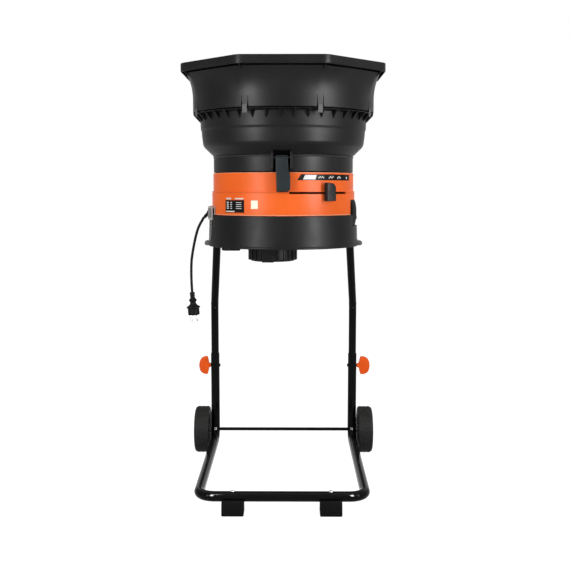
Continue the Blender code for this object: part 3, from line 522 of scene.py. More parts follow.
gloss_black = surface("gloss_black_paint", (0.003, 0.003, 0.0033), 0.06, 0.052, slot="black_paint",
                      grain=(260, 0.000012), mottle=(9, 0.15), worn=((0.06, 0.06, 0.06), 0.0006, 0.3),
                      dust=0.03)
frame_x = 0.2040
upright_y = drum_y + 0.1000
bar_y = drum_y - 0.4234
bar_z = 0.0433
frame_radius = 0.0127
side_path = [(frame_x, upright_y, 0.2987), (frame_x, upright_y, bar_z), (frame_x, bar_y, bar_z)]
corners = [(-x, y, z) for x, y, z in side_path] + side_path[::-1]
bent_frame = finished("bent_frame", bent_tube(corners, frame_radius, 0.040, 0.0013), gloss_black,
                      "lower_frame")
# Two lamps show only on this tube, as the glints on its front bends, in place of the
# sheen that shows on all else
for name, lamps, state in (("glint_shows_on", glint_boxes, "INCLUDE"),
                           ("no_sheen_on", sheen_boxes, "EXCLUDE")):
    receivers = bpy.data.collections.new(name)
    receivers.objects.link(bent_frame)
    receivers.collection_objects[0].light_linking.link_state = state
    for lamp in lamps:
        lamp.light_linking.receiver_collection = receivers

# The feet: two rubber blocks under the front bar, hollowed to saddle it, each held by one
# zinc plated screw down through the bar.


def shaped(mesh, rounding=0.0, segments=3, tools=(), angle=30):
    """A mesh with tools cut out of it, and its sharp edges then rounded over."""
    work = added("work", mesh)
    cutters = [added("cutter", tool) for tool in tools]
    for cutter in cutters:
        cutter.hide_render = True
        cut = work.modifiers.new("cut", "BOOLEAN")
        cut.solver = "EXACT"
        cut.object = cutter
    if rounding:
        bevel = work.modifiers.new("rounding", "BEVEL")
        bevel.width = rounding
        bevel.segments = segments
        bevel.limit_method = "ANGLE"
        bevel.angle_limit = math.radians(angle)
    return settled(work, *cutters)


def block(size, place=Matrix(), taper=1.0):
    """A box about its own middle, its top drawn in by a taper."""
    form = bmesh.new()
    bmesh.ops.create_cube(form, size=1)
    for vert in form.verts:
        vert.co = Vector((vert.co.x * size[0], vert.co.y * size[1], vert.co.z * size[2]))
        if vert.co.z > 0:
            vert.co.x *= taper
            vert.co.y *= taper
    return closed(form, place)


def crossed(head, top, size, place=Matrix()):
    """A screw head with a cross recess in its top."""
    for turn in (0, 90):
        spot = place @ at(0, 0, top) @ spun(turn, "Z")
        head = shaped(head, tools=[block((size, size * 0.22, size * 0.30), spot)])
    return head


foot_rubber = surface("foot_rubber", (0.005, 0.005, 0.005), 0.7, 0.03, slot="rubber", grain=(700, 0.00004),
                      dust=0.02)
zinc = surface("zinc_plate", (0.55, 0.56, 0.57), 0.34, slot="zinc", metallic=1.0, grain=(1200, 0.000006),
               mottle=(120, 0.12))
# A near-black finish that paints the shade on the axle spacers, which are zinc
dull_zinc = surface("dull_zinc", (0.05, 0.05, 0.052), 0.5, 0.2, slot="zinc", grain=(1200, 0.00001),
                    mottle=(120, 0.12))
foot_width, foot_depth, foot_height = 0.0543, 0.0456, 0.0370
for label, side in sides:
    middle = Vector((side * 0.1190, bar_y, 0))
    spot = Matrix.Translation(middle)
    sole = block((foot_width, foot_depth, foot_height), spot @ at(0, 0, foot_height / 2), 0.985)
    sole = shaped(sole, 0.0030, 4)
    across = spot @ at(0, 0, bar_z) @ spun(90, "Y")
    hollow = frame_radius + 0.0003
    saddle = turned([(0, 0.05), (hollow, 0.05), (hollow, -0.05), (0, -0.05)], 48, across)
    finished("foot_block_" + label, shaped(sole, 0.0006, 2, [saddle]), foot_rubber, "foot_" + label)
    head = bar_z + frame_radius + 0.0003
    profile = [(0, head + 0.0022), (0.0028, head + 0.0021), (0.0044, head + 0.0016),
               (0.0052, head + 0.0006), (0.0052, head), (0.0026, head), (0.0026, 0.0180), (0, 0.0150)]
    screw = crossed(turned(eased(profile, 0.0004), 24, spot), head + 0.0022, 0.0056, spot)
    finished("bar_screw_" + label, screw, zinc, "foot_screw_" + label)

# The wheels: an axle rod through both uprights, and on each end a spacer, a moulded wheel with
# a ribbed web, a rubber tyre with fine tread blocks, and a pressed cap.
axle_y = drum_y + 0.0984
axle_z = 0.0683
axle_radius = 0.00475
bore = axle_radius + 0.0003
wheel_in = 0.2212
wheel_out = 0.2655
web = 0.2406
hub_plastic = surface("wheel_plastic", (0.010, 0.010, 0.0105), 0.45, 0.07, grain=(800, 0.00002),
                      worn=((0.05, 0.05, 0.05), 0.0008, 0.4), dust=0.06)
tyre_rubber = surface("tyre_rubber", (0.014, 0.014, 0.014), 0.62, 0.07, slot="tyre", grain=(900, 0.00008),
                      mottle=(160, 0.45), dust=0.10)
rod = [(0, 0.2630), (0.0040, 0.2630), (axle_radius, 0.2622), (axle_radius, -0.2622), (0.0040, -0.2630),
       (0, -0.2630)]
along_axle = at(0, axle_y, axle_z) @ spun(90, "Y")
finished("axle", turned(rod, 32, along_axle), gloss_black, "axle_rod")
for label, side in sides:
    out = at(0, axle_y, axle_z) @ spun(90 * side, "Y")
    body = "wheel_" + label
    hub = [(bore, wheel_out), (0.0130, wheel_out), (0.0148, web + 0.0030), (0.0397, web + 0.0030),
           (0.0427, wheel_out - 0.0040), (0.0457, wheel_out - 0.0040), (0.0457, wheel_in + 0.0040),
           (0.0417, web - 0.0020), (0.0130, web - 0.0020), (0.0130, wheel_in), (bore, wheel_in)]
    rib = block((0.0280, 0.0030, 0.0170), at(0.0272, 0, web + 0.0105))
    spokes = ring_of(shaped(rib, 0.0008, 2), 8)
    spokes.transform(out)
    wheel = joined(turned(eased(hub, 0.0012), 72, out), spokes)
    finished("wheel_" + label + "_moulding", wheel, hub_plastic, "wheel_hub_" + label, body=body)
    tyre = [(0.0460, 0.2640), (0.0540, 0.2640), (0.0620, 0.2632), (0.0658, 0.2610), (0.0671, 0.2570),
            (0.0673, 0.2500), (0.0673, 0.2320), (0.0671, 0.2240), (0.0655, 0.2214), (0.0610, 0.2210),
            (0.0500, 0.2228), (0.0460, 0.2242)]
    rubber = [turned(eased(tyre, 0.0020), 96, out)]
    for middle, shift in ((0.2292, 0), (0.2406, 3.0), (0.2520, 0)):
        lug = block((0.0026, 0.0036, 0.0090), at(0.0670, 0, middle))
        tread = ring_of(shaped(lug, 0.0004, 1), 60, shift)
        tread.transform(out)
        rubber.append(tread)
    finished("tyre_" + label + "_treaded", joined(*rubber), tyre_rubber, "tyre_" + label, body=body)
    spacer = [(bore, wheel_in - 0.0003), (0.0105, wheel_in - 0.0003), (0.0105, 0.2170), (bore, 0.2170)]
    finished("axle_spacer_" + label, turned(eased(spacer, 0.0004, True), 32, out), dull_zinc,
             "axle_washer_" + label)
    cap = [(0, 0.2680), (0.0040, 0.2678), (0.0070, 0.2672), (0.0085, 0.2664), (0.0095, 0.2660),
           (0.0095, 0.2658), (0, 0.2658)]
    finished("pressed_cap_" + label, turned(cap, 32, out), zinc, "axle_cap_" + label)

# The upper legs: two 22.2 mm tubes that slide into the uprights and crank forward under the
# drum. Each has a rolled band at its bend and a sprung button below it.
leg_radius = 0.0111
for label, side in sides:
    foot = Vector((side * frame_x, upright_y, 0.2250))
    bend = Vector((side * frame_x, upright_y, 0.4487))
    top = Vector((side * 0.1840, drum_y - 0.0223, 0.6680))
    tube = bent_tube([foot, bend, top], leg_radius, 0.060, 0.0013)
    lean = ((bend - foot).normalized() + (top - bend).normalized()).normalized()
    band = [(leg_radius - 0.0004, 0.0014), (leg_radius + 0.0004, 0.0011), (leg_radius + 0.0006, 0),
            (leg_radius + 0.0004, -0.0011), (leg_radius - 0.0004, -0.0014)]
    crimp = Matrix.Translation(bend + Vector((-side * 0.0002, -0.0018, -0.0012)))
    crimp = crimp @ lean.to_track_quat("Z", "Y").to_matrix().to_4x4()
    dome = [(0, 0.0016), (0.0018, 0.0013), (0.0030, 0.0005), (0.0035, -0.0010), (0, -0.0010)]
    button = at(side * frame_x, upright_y - leg_radius, 0.4355) @ spun(90, "X")
    leg = joined(tube, turned(band, 40, crimp), turned(dome, 20, button))
    finished("leg_" + label, leg, gloss_black, "upper_leg_" + label)

# The clamps: a black bolt through each pair of tubes, with a moulded orange wing knob
# screwed on from outside.
knob_orange = surface("knob_orange", (0.82, 0.100, 0.010), 0.42, 0.05, slot="orange_plastic",
                      grain=(700, 0.00002), worn=((0.95, 0.32, 0.16), 0.0010, 0.5), dust=0.06)


def plate(outline, thickness, rounding, place=Matrix(), segments=3):
    """A flat outline given a thickness about its own plane, with its edges rounded over."""
    form = bmesh.new()
    lower = form.faces.new([form.verts.new((x, y, -thickness / 2)) for x, y in outline])
    raised = bmesh.ops.extrude_face_region(form, geom=[lower])
    upper = [item for item in raised["geom"] if isinstance(item, bmesh.types.BMVert)]
    bmesh.ops.translate(form, vec=(0, 0, thickness), verts=upper)
    mesh = closed(form)
    if rounding:
        mesh = shaped(mesh, rounding, segments, angle=50)
    mesh.transform(place)
    return mesh


wing = [(0.0132, 0.0), (0.0132, 0.0056), (0.0165, 0.0058), (0.0180, 0.0068), (0.0190, 0.0120),
        (0.0203, 0.0180), (0.0218, 0.0252), (0.0240, 0.0266), (0.0310, 0.0262), (0.0400, 0.0222),
        (0.0455, 0.0140), (0.0478, 0.0)]
wing += [(x, -z) for x, z in reversed(wing[1:-1])]
for label, side in sides:
    axis = at(side * frame_x, upright_y, 0.2626)
    out = axis @ spun(90 * side, "Y")
    bolt = [(0, 0.0262), (0.0030, 0.0262), (0.0030, -0.0130), (0.0050, -0.0130), (0.0048, -0.0144),
            (0.0036, -0.0154), (0.0020, -0.0156), (0, -0.0156)]
    bolt = crossed(turned(eased(bolt, 0.0004), 32, out), -0.0156, 0.0050, out)
    finished("clamp_bolt_" + label, bolt, gloss_black, "leg_bolt_" + label)
    face = axis @ spun(0 if side > 0 else 180, "Z") @ spun(90, "X")
    drawn_out = 0.0042 if side > 0 else 0
    outline = [(x + drawn_out * min(1, (x - 0.0132) / 0.018), z) for x, z in wing]
    knob = plate(eased(outline, 0.0030, True), 0.0120, 0.0030, face, 4)
    bore = turned([(0, 0.0275), (0.0034, 0.0275), (0.0034, 0.0100), (0, 0.0100)], 24, out)
    knob = shaped(knob, tools=[bore])
    finished("wing_grip_" + label, knob, knob_orange, "wing_knob_" + label, body="knob_" + label)

# The leg sockets: moulded sleeves on pillars under the deck. The tops of the legs push into
# them when the drum is set on the stand.


def softened(node_name, ease):
    """A copy of a CAD node, merged, with its sharp edges rounded over."""
    form = bmesh.new()
    form.from_mesh(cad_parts[node_name].data)
    bmesh.ops.remove_doubles(form, verts=form.verts, dist=0.00002)
    bmesh.ops.dissolve_limit(form, angle_limit=math.radians(0.5), verts=form.verts, edges=form.edges)
    return shaped(closed(form), ease, 2)


inner_black = surface("inner_black", (0.011, 0.011, 0.0115), 0.5, 0.08, grain=(600, 0.00003), dust=0.06)
for label in ("left", "right"):
    finished("leg_sleeve_" + label, softened("leg_socket_" + label, 0.0008), inner_black,
             "leg_socket_" + label)

# The discharge skirt: one black moulding round the foot of the drum, open below, with a bead at
# its foot, air slots on the left and a hook on either side for the collection bag.


def swept(outline, start, end, step=2.5):
    """A (radius, height) outline swept round the drum between two angles from the front."""
    form = bmesh.new()
    count = max(1, round((end - start) / step))
    rings = []
    for k in range(count + 1):
        turn = math.radians(start + (end - start) * k / count)
        rings.append([form.verts.new((r * math.sin(turn), -r * math.cos(turn), z)) for r, z in outline])
    for a, b in zip(rings, rings[1:]):
        for i in range(len(outline)):
            j = (i + 1) % len(outline)
            form.faces.new((a[i], a[j], b[j], b[i]))
    form.faces.new(rings[0])
    form.faces.new(rings[-1][::-1])
    return closed(form)


def cell(inner, outer, low, high, start, end):
    """A plain cutter between two radii, two heights and two angles."""
    return swept([(inner, high), (outer, high), (outer, low), (inner, low)], start, end)


drum_steps = 160


def on_drum(mesh):
    """A mesh made about the drum's own axis, moved to where the drum stands."""
    mesh.transform(drum)
    return mesh


skirt_black = surface("skirt_black", (0.0095, 0.0095, 0.010), 0.44, 0.062, grain=(480, 0.00003),
                      worn=((0.05, 0.05, 0.05), 0.0010, 0.4), dust=0.05)
skirt = [(0.1993, 0.7139), (0.2046, 0.7139), (0.2056, 0.7126), (0.2079, 0.6336), (0.2095, 0.6320),
         (0.2099, 0.6296), (0.2094, 0.6270), (0.2054, 0.6270), (0.2025, 0.7093), (0.1993, 0.7093)]
# The opening that the switch box fills, here and in the lower housing
window = cell(0.1955, 0.2150, 0.6836, 0.7554, 67.3, 112.7)
slot_pitch = 0.0088
slot_starts = (-102.5, -95.3, -88.1, -80.6)
slots = joined(*[cell(0.198, 0.213, 0.6490 + slot_pitch * row, 0.6528 + slot_pitch * row, start, start + 6.2)
                 for row in range(6) for start in slot_starts])
hook = [(0.2060, 0.6480), (0.2112, 0.6400), (0.2160, 0.6404), (0.2205, 0.6385), (0.2220, 0.6340),
        (0.2212, 0.6295), (0.2180, 0.6268), (0.2060, 0.6268)]
hook = eased(hook, 0.0012, True)
hooks = [shaped(swept(hook, middle - 3, middle + 3, 1), 0.0006, 2, angle=60) for middle in (-90, 90)]
shell = shaped(turned(eased(skirt, 0.0005, True, 2), drum_steps), tools=[window, slots])
vent_grey = surface("vent_grey", (0.150, 0.150, 0.148), 0.5, 0.08, grain=(480, 0.00003), dust=0.05)
field = swept([(0.2050, 0.7085), (0.2074, 0.7085), (0.2094, 0.6420), (0.2060, 0.6420)], -106, -73.2)
field = shaped(field, 0.0004, 2, [slots])
ridge = swept([(0.2045, 0.7085), (0.2080, 0.7085), (0.2094, 0.6560), (0.2060, 0.6560)], -73.1, -71.2, 1)
ridge = shaped(ridge, 0.0007)
# Dark plugs in the lowest three slots of the front column paint the shade inside them
slot_shade_plugs = joined(*[cell(0.2040, 0.2089, 0.6491 + slot_pitch * row, 0.6527 + slot_pitch * row, -80.5, -74.5)
                 for row in range(3)])
finished("blind_slots", on_drum(slot_shade_plugs), inner_black)
finished("slotted_field", on_drum(joined(field, ridge)), vent_grey)
# The bag hooks take this pale grey as a painted highlight on their tops; they are the skirt's black moulding
finished("bag_hooks", on_drum(joined(*hooks)), vent_grey)
finished("discharge_skirt", on_drum(shell), skirt_black, "skirt")

# The lower housing: a smooth orange moulding that drops into the skirt, with a ledge inside for
# the deck, another for the grading ring, and the slit that the ring's knob runs in.
drum_orange = surface("drum_orange", (0.95, 0.148, 0.020), 0.38, 0.07, slot="orange_plastic",
                      grain=(380, 0.00001), mottle=(7, 0.04), worn=((1.0, 0.34, 0.16), 0.0008, 0.4),
                      dust=0.05)
housing = [(0.1957, 0.7745), (0.1990, 0.7745), (0.1990, 0.6990), (0.1960, 0.6990), (0.1960, 0.7310),
           (0.1870, 0.7310), (0.1870, 0.7340), (0.1960, 0.7340), (0.1960, 0.7660), (0.1880, 0.7685),
           (0.1880, 0.7710), (0.1957, 0.7710)]
slit_start, slit_end = 4.8, 58.5
slit = cell(0.1945, 0.2010, 0.7713, 0.7760, slit_start, slit_end)
shell = shaped(turned(eased(housing, 0.0007, True, 2), drum_steps), tools=[window, slit])
finished("orange_housing", on_drum(shell), drum_orange, "lower_housing")
pale_orange = surface("pale_orange", (1.0, 0.40, 0.22), 0.38, 0.07, slot="orange_plastic",
                      grain=(380, 0.00001))
# A pale orange bead at the housing's top edge paints the highlight along it
lip = eased([(0.1984, 0.7172), (0.1994, 0.7168), (0.2002, 0.7158), (0.2002, 0.7148), (0.1984, 0.7148)],
            0.0003, True)
finished("housing_lip", on_drum(joined(swept(lip, -66.5, 67), swept(lip, 113, 247))), pale_orange)

# The motor deck: a moulded spider across the drum that the motor hangs from. The leaves fall
# through the bays between its arms.
finished("deck_spider", softened("motor_deck", 0.0010), inner_black, "motor_deck")

# The motor: a black can with air slots hung from the deck, and a ribbed cap over its lower end.
# Inside are a laminated stator, two ball bearings and two carbon brushes.
motor_x = -0.0300
motor = at(motor_x, drum_y, 0)
motor_black = surface("motor_black", (0.008, 0.008, 0.0085), 0.46, 0.08, grain=(520, 0.00003), dust=0.05)
steel = surface("machined_steel", (0.45, 0.45, 0.46), 0.32, slot="steel", metallic=1.0,
                grain=(1600, 0.000005), mottle=(90, 0.10))
laminations = surface("stacked_laminations", (0.34, 0.34, 0.35), 0.42, slot="steel", metallic=1.0,
                      grain=(1200, 0.00001))
carbon = surface("pressed_carbon", (0.035, 0.035, 0.040), 0.62, 0.4, slot="carbon", grain=(1800, 0.00002))
can = [(0.0166, 0.7520), (0.0560, 0.7520), (0.0620, 0.7460), (0.0620, 0.7340), (0.0780, 0.7340),
       (0.0780, 0.7305), (0.0620, 0.7305), (0.0620, 0.6050), (0.0590, 0.6050), (0.0590, 0.7420),
       (0.0166, 0.7420)]
vents = ring_of(block((0.0120, 0.0045, 0.0170), at(0.0605, 0, 0.7130)), 20, 9)
vents.transform(motor)
can = shaped(turned(eased(can, 0.0014, True), 96, motor), tools=[vents])
finished("motor_housing", can, motor_black, "motor_can")
cap = [(0, 0.6072), (0.0132, 0.6072), (0.0132, 0.6165), (0.0180, 0.6165), (0.0180, 0.5895),
       (0.0625, 0.5895), (0.0625, 0.6400), (0.0660, 0.6400), (0.0660, 0.5895), (0.0600, 0.5835),
       (0, 0.5825)]
rib = shaped(block((0.0046, 0.0074, 0.0494), at(0.0667, 0, 0.6113)), 0.0012, 3)
ribs = ring_of(rib, 24)
ribs.transform(motor)
pad = eased([(-0.0165, -0.0264), (0.0165, -0.0264), (0.0165, 0.0264), (-0.0165, 0.0264)], 0.002, True)
pad = plate(pad, 0.0160, 0.0010, at(motor_x - 0.0120, drum_y - 0.0625, 0.6092) @ spun(90, "X"))
cap = joined(turned(eased(cap, 0.0012), 96, motor), ribs, pad)
finished("ribbed_motor_cap", cap, motor_black, "motor_cap")
stack = [(0.0400, 0.7000)]
for sheet in range(30):
    top = 0.7000 - 0.0020 * sheet
    stack += [(0.0582, top), (0.0582, top - 0.0015), (0.0577, top - 0.0016), (0.0577, top - 0.0019)]
stack += [(0.0577, 0.6400), (0.0400, 0.6400)]
finished("stator_stack", turned(stack, 48, motor), laminations, "stator")
for label, outer, low, high in (("upper", 0.0162, 0.7421, 0.7520), ("lower", 0.0129, 0.6075, 0.6160)):
    race = outer - 0.0030
    ring = [(0.0053, high), (0.0075, high), (0.0080, high - 0.0008), (race, high - 0.0008),
            (race + 0.0005, high), (outer, high), (outer, low), (race + 0.0005, low), (race, low + 0.0008),
            (0.0080, low + 0.0008), (0.0075, low), (0.0053, low)]
    bearing = turned(eased(ring, 0.0004, True, 2), 40, motor)
    finished("ball_bearing_" + label, bearing, steel, "bearing_" + label)
for label in ("left", "right"):
    finished("carbon_brush_" + label, softened("brush_" + label, 0.0005), carbon, "brush_" + label)

# The electrics: a terminal box with its capacitor under the deck, and on the right a moulded
# switch box with a rocker and a reset button. A dark flange behind the box closes its gap to the
# skirt. A small switch inside guards the hopper.
grey_plastic = surface("grey_plastic", (0.42, 0.40, 0.39), 0.45, 0.3, slot="grey_plastic",
                       grain=(800, 0.00002), mottle=(30, 0.05), worn=((0.5, 0.5, 0.49), 0.0008, 0.4),
                       dust=0.08)
switch_black = surface("switch_black", (0.009, 0.009, 0.0095), 0.65, 0.03, grain=(700, 0.00002), dust=0.04)
case = softened("terminal_box", 0.0022)
lip = shaped(block((0.0520, 0.0600, 0.0270), at(-0.1465, drum_y, 0.6261)), 0.0050, 4)
finished("terminal_case", joined(case, lip), motor_black, "terminal_box")
can = [(0, 0.6601), (0.0085, 0.6601), (0.0095, 0.6594), (0.0110, 0.6588), (0.0110, 0.6200),
       (0.0106, 0.6192), (0.0106, 0.6180), (0.0110, 0.6172), (0.0110, 0.6160), (0.0100, 0.6151),
       (0, 0.6151)]
can = turned(eased(can, 0.0008), 40, at(-0.1435, drum_y, 0))
finished("capacitor_can", can, grey_plastic, "capacitor")
switch_z = 0.7170
case = [(0.1963, 0.7550), (0.1990, 0.7550), (0.2022, 0.7475), (0.2045, 0.7340), (0.2052, switch_z),
        (0.2042, 0.7000), (0.2018, 0.6880), (0.2002, 0.6840), (0.1963, 0.6840)]
pocket = block((0.0222, 0.0290, 0.0350), at(0.2089, 0, switch_z))
bore = turned([(0, 0.02), (0.0063, 0.02), (0.0063, -0.02), (0, -0.02)], 32,
              at(0.2172, 0.0360, switch_z) @ spun(90, "Y"))
case = shaped(swept(eased(case, 0.0030, True), 67.5, 112.5, 1.5), 0.0010, 3, [pocket, bore], 50)
finished("switch_housing", on_drum(case), switch_black, "switch_box")
flange = [(0.1950, 0.7090), (0.1966, 0.7090), (0.1966, 0.6835), (0.2038, 0.6835), (0.2040, 0.6790),
          (0.1950, 0.6790)]
finished("switch_flange", on_drum(swept(flange, 61, 118)), inner_black)
rocker = [(-0.0015, -0.0160), (0.0030, -0.0160), (0.0028, -0.0060), (0.0019, 0), (0.0028, 0.0060),
          (0.0030, 0.0160), (-0.0015, 0.0160)]
pivot = at(0.2015, drum_y, switch_z) @ spun(-6, "Y")
rocker = plate(eased(rocker, 0.0030, True), 0.0276, 0.0008, pivot @ spun(90, "X"))
finished("rocker_key", rocker, switch_black, "switch_rocker", body="rocker")
button = [(0, 0.2050), (0.0030, 0.2050), (0.0048, 0.2052), (0.0060, 0.2040), (0.0060, 0.1995), (0, 0.1995)]
button = turned(eased(button, 0.0006), 32, at(0, drum_y + 0.0360, switch_z) @ spun(90, "Y"))
finished("reset_key", button, grey_plastic, "reset_button", body="reset")
finished("hopper_guard_switch", softened("interlock_switch", 0.0010), inner_black, "interlock_switch")

# The inlet cover: a light grey moulding clipped over the cable inlet on the left, with a row of
# narrow upright slots, and a hole that the strain relief comes out of.
inlet_black = surface("inlet_black", (0.0025, 0.0025, 0.0025), 0.8, 0.0, grain=(600, 0.00002))
cover = [(0.1995, 0.7370), (0.2090, 0.7370), (0.2115, 0.7340), (0.2115, 0.7020), (0.2100, 0.7000),
         (0.2062, 0.7000), (0.2062, 0.7142), (0.1995, 0.7142)]
hole = turned([(0, 0.04), (0.0083, 0.04), (0.0083, -0.02), (0, -0.02)], 32,
              at(-0.2065, 0, 0.7215) @ spun(-135, "Y"))
slot_middles = (-71.3, -76.4, -82, -98, -104, -109.6)
grille = joined(*[cell(0.2070, 0.2130, 0.7060, 0.7325, middle - 1.5, middle + 1.5)
                  for middle in slot_middles], cell(0.2030, 0.2068, 0.7140, 0.7325, -69.2, -66.0))
cover = shaped(swept(eased(cover, 0.0014, True), -112.5, -68.0, 1.5), 0.0005, 2, [hole, grille], 50)
finished("slotted_inlet_cover", on_drum(cover), grey_plastic, "inlet_cover")
# Dark blocks set in the slots paint the shade inside them
mesh = joined(*[cell(0.2071, 0.2112, 0.7061, 0.7324, middle - 1.45, middle + 1.45)
                for middle in slot_middles], cell(0.2031, 0.2067, 0.7141, 0.7324, -69.1, -68.2))
finished("inlet_mesh", on_drum(mesh), inlet_black)

# The upper ring: the orange moulding that the hopper's neck drops into. It has a catch under
# each latch, and a thin step where it meets the lower housing.
ring = [(0.1895, 0.8274), (0.1955, 0.8274), (0.1955, 0.7790), (0.1986, 0.7785), (0.1986, 0.7748),
        (0.1925, 0.7748), (0.1925, 0.8230), (0.1895, 0.8230)]
catch = [(0.1945, 0.7950), (0.2015, 0.7950), (0.2040, 0.7915), (0.2040, 0.7855), (0.1945, 0.7855)]
catch = eased(catch, 0.0008, True)
catches = [shaped(swept(catch, middle - 4.5, middle + 4.5, 1), 0.0006, 2, angle=60) for middle in (0, 180)]
slit_top = cell(0.1915, 0.2010, 0.7735, 0.7769, slit_start, slit_end)
shell = shaped(turned(eased(ring, 0.0006, True, 2), drum_steps), tools=[slit_top])
finished("orange_ring", on_drum(joined(shell, *catches)), drum_orange, "upper_ring")
# A pale orange lip at the ring's top paints the highlight along its edge
lip = eased([(0.1948, 0.8277), (0.1954, 0.8276), (0.1958, 0.8271), (0.1958, 0.8263), (0.1948, 0.8263)],
            0.0002, True)
finished("ring_lip", on_drum(turned(lip, drum_steps)), pale_orange)

# The grading ring: a flat moulded ring with eight windows that turns between two ledges, and
# the knob on its tab, outside the slit, that turns it.
# A matt near-black finish that paints shade: on the grading disc, behind the slit, beside the latches and in
# gaps
painted_shade_black = surface("shaded_black", (0.0025, 0.0025, 0.0025), 0.8, 0.0, grain=(600, 0.00002))
# The grading disc is painted near black as shade, so that the slit in front of it reads dark
finished("grading_disc", softened("selector_ring", 0.0005), painted_shade_black, "selector_ring", body="grading")
# A dark strip behind the slit paints the shade inside it
strip = swept([(0.1912, 0.7752), (0.1924, 0.7752), (0.1924, 0.7805), (0.1912, 0.7805)], 3, 60)
finished("slit_shade", on_drum(strip), painted_shade_black)
knob_angle = 37.5
knob_black = surface("knob_black", (0.014, 0.013, 0.013), 0.40, 0.10, grain=(700, 0.00002),
                     worn=((0.10, 0.10, 0.10), 0.0012, 0.8))
knob_face = 0.2087
bearing = math.radians(knob_angle)
face = at(knob_face * math.sin(bearing), drum_y - knob_face * math.cos(bearing), 0.7764)
face = face @ spun(knob_angle, "Z")
front = [(-0.0184, -0.0238), (0.0100, -0.0238), (0.0100, 0.0135), (0.0030, 0.0226), (-0.0184, 0.0246)]
groove = block((0.0340, 0.0080, 0.0024), face @ at(0, -0.0088, -0.0016))
knob = plate(eased(front, 0.0026, True), 0.0176, 0.0022, face @ spun(90, "X"), 4)
# Its back edge is cut away so that it clears the front latch at the end of its travel
relief = block((0.0142, 0.0140, 0.0600), face @ at(-0.0229, 0.0050, 0))
finished("grading_knob", shaped(knob, tools=[groove, relief]), knob_black, "selector_knob", body="grading")

# The labels: a black scale strip over the slit, a plain plate and a small cream square on the
# housing. They are printed film, left bare apart from plain bars and dots.


def wrapped(outline, radius, depth, step=3):
    """A thin film bent round the drum, from an outline of (angle, height) points."""
    form = bmesh.new()
    form.faces.new([form.verts.new((a, z, 0)) for a, z in outline])
    low = min(a for a, _ in outline)
    high = max(a for a, _ in outline)
    cut = low + step
    while cut < high - 0.1:
        everything = [*form.verts, *form.edges, *form.faces]
        bmesh.ops.bisect_plane(form, geom=everything, plane_co=(cut, 0, 0), plane_no=(1, 0, 0))
        cut += step
    raised = bmesh.ops.extrude_face_region(form, geom=form.faces[:])
    for item in raised["geom"]:
        if isinstance(item, bmesh.types.BMVert):
            item.co.z = depth
    for vert in form.verts:
        turn = math.radians(vert.co.x)
        out = radius + vert.co.z
        vert.co = Vector((out * math.sin(turn), -out * math.cos(turn), vert.co.y))
    return closed(form, drum)


ring_face = 0.1955
housing_face = 0.1990
print_height = 0.0004


def bar(start, end, low, high, depth=0.0005):
    """A plain bar or film on the housing."""
    return wrapped([(start, low), (end, low), (end, high), (start, high)], housing_face, depth)


def dot(angle, height, size):
    """A plain printed dot on the scale strip."""
    wide = math.degrees(size / ring_face)
    turns = [2 * math.pi * k / 16 for k in range(16)]
    outline = [(angle + wide * math.cos(a), height + size * math.sin(a)) for a in turns]
    return wrapped(outline, ring_face, print_height, 20)


film_black = surface("label_film_black", (0.006, 0.006, 0.0065), 0.40, 0.04, grain=(1500, 0.000004))
film_pale = surface("label_print_pale", (0.75, 0.75, 0.74), 0.45, 0.2, slot="grey_plastic",
                    grain=(1500, 0.000004))
film_cream = surface("label_film_cream", (0.82, 0.70, 0.45), 0.42, 0.4, slot="grey_plastic",
                     grain=(1500, 0.000004))
strip = wrapped([(11, 0.8072), (66, 0.8072), (66, 0.8225), (14, 0.8225)], ring_face, 0.0002)
finished("scale_strip", strip, film_black)
marks = [wrapped([(15.5, 0.8090), (25.8, 0.8090), (26.8, 0.8207), (17.3, 0.8207)], ring_face, print_height)]
for middle, size, count in ((31, 0.0017, 5), (40.7, 0.0021, 4), (49.8, 0.0025, 3), (60.8, 0.0032, 1)):
    apart = math.degrees(2.1 * size / ring_face)
    for k in range(count):
        height = 0.8150 + (0.0013 if k % 2 else -0.0013)
        marks.append(dot(middle + (k - (count - 1) / 2) * apart, height, size))
finished("scale_marks", joined(*marks), film_pale)
finished("blank_plate", bar(-50.3, -30.6, 0.7222, 0.7552, 0.0003), film_black)
marks = [bar(-49.1, -43.6, 0.7573, 0.7612), bar(-39.2, -31.2, 0.7576, 0.7608),
         bar(-49.6, -40.0, 0.7238, 0.7268)]
for row in range(4):
    low = 0.7325 + 0.0052 * row
    for start, end, tall in ((-48.6, -46.2, 0.0026), (-44.4, -42.6, 0.0020), (-38.4, -33.0, 0.0014)):
        marks.append(bar(start, end, low, low + tall))
finished("plate_marks", joined(*marks), film_pale)
finished("cream_square", bar(-24.6, -19.1, 0.7329, 0.7543, 0.0003), film_cream)

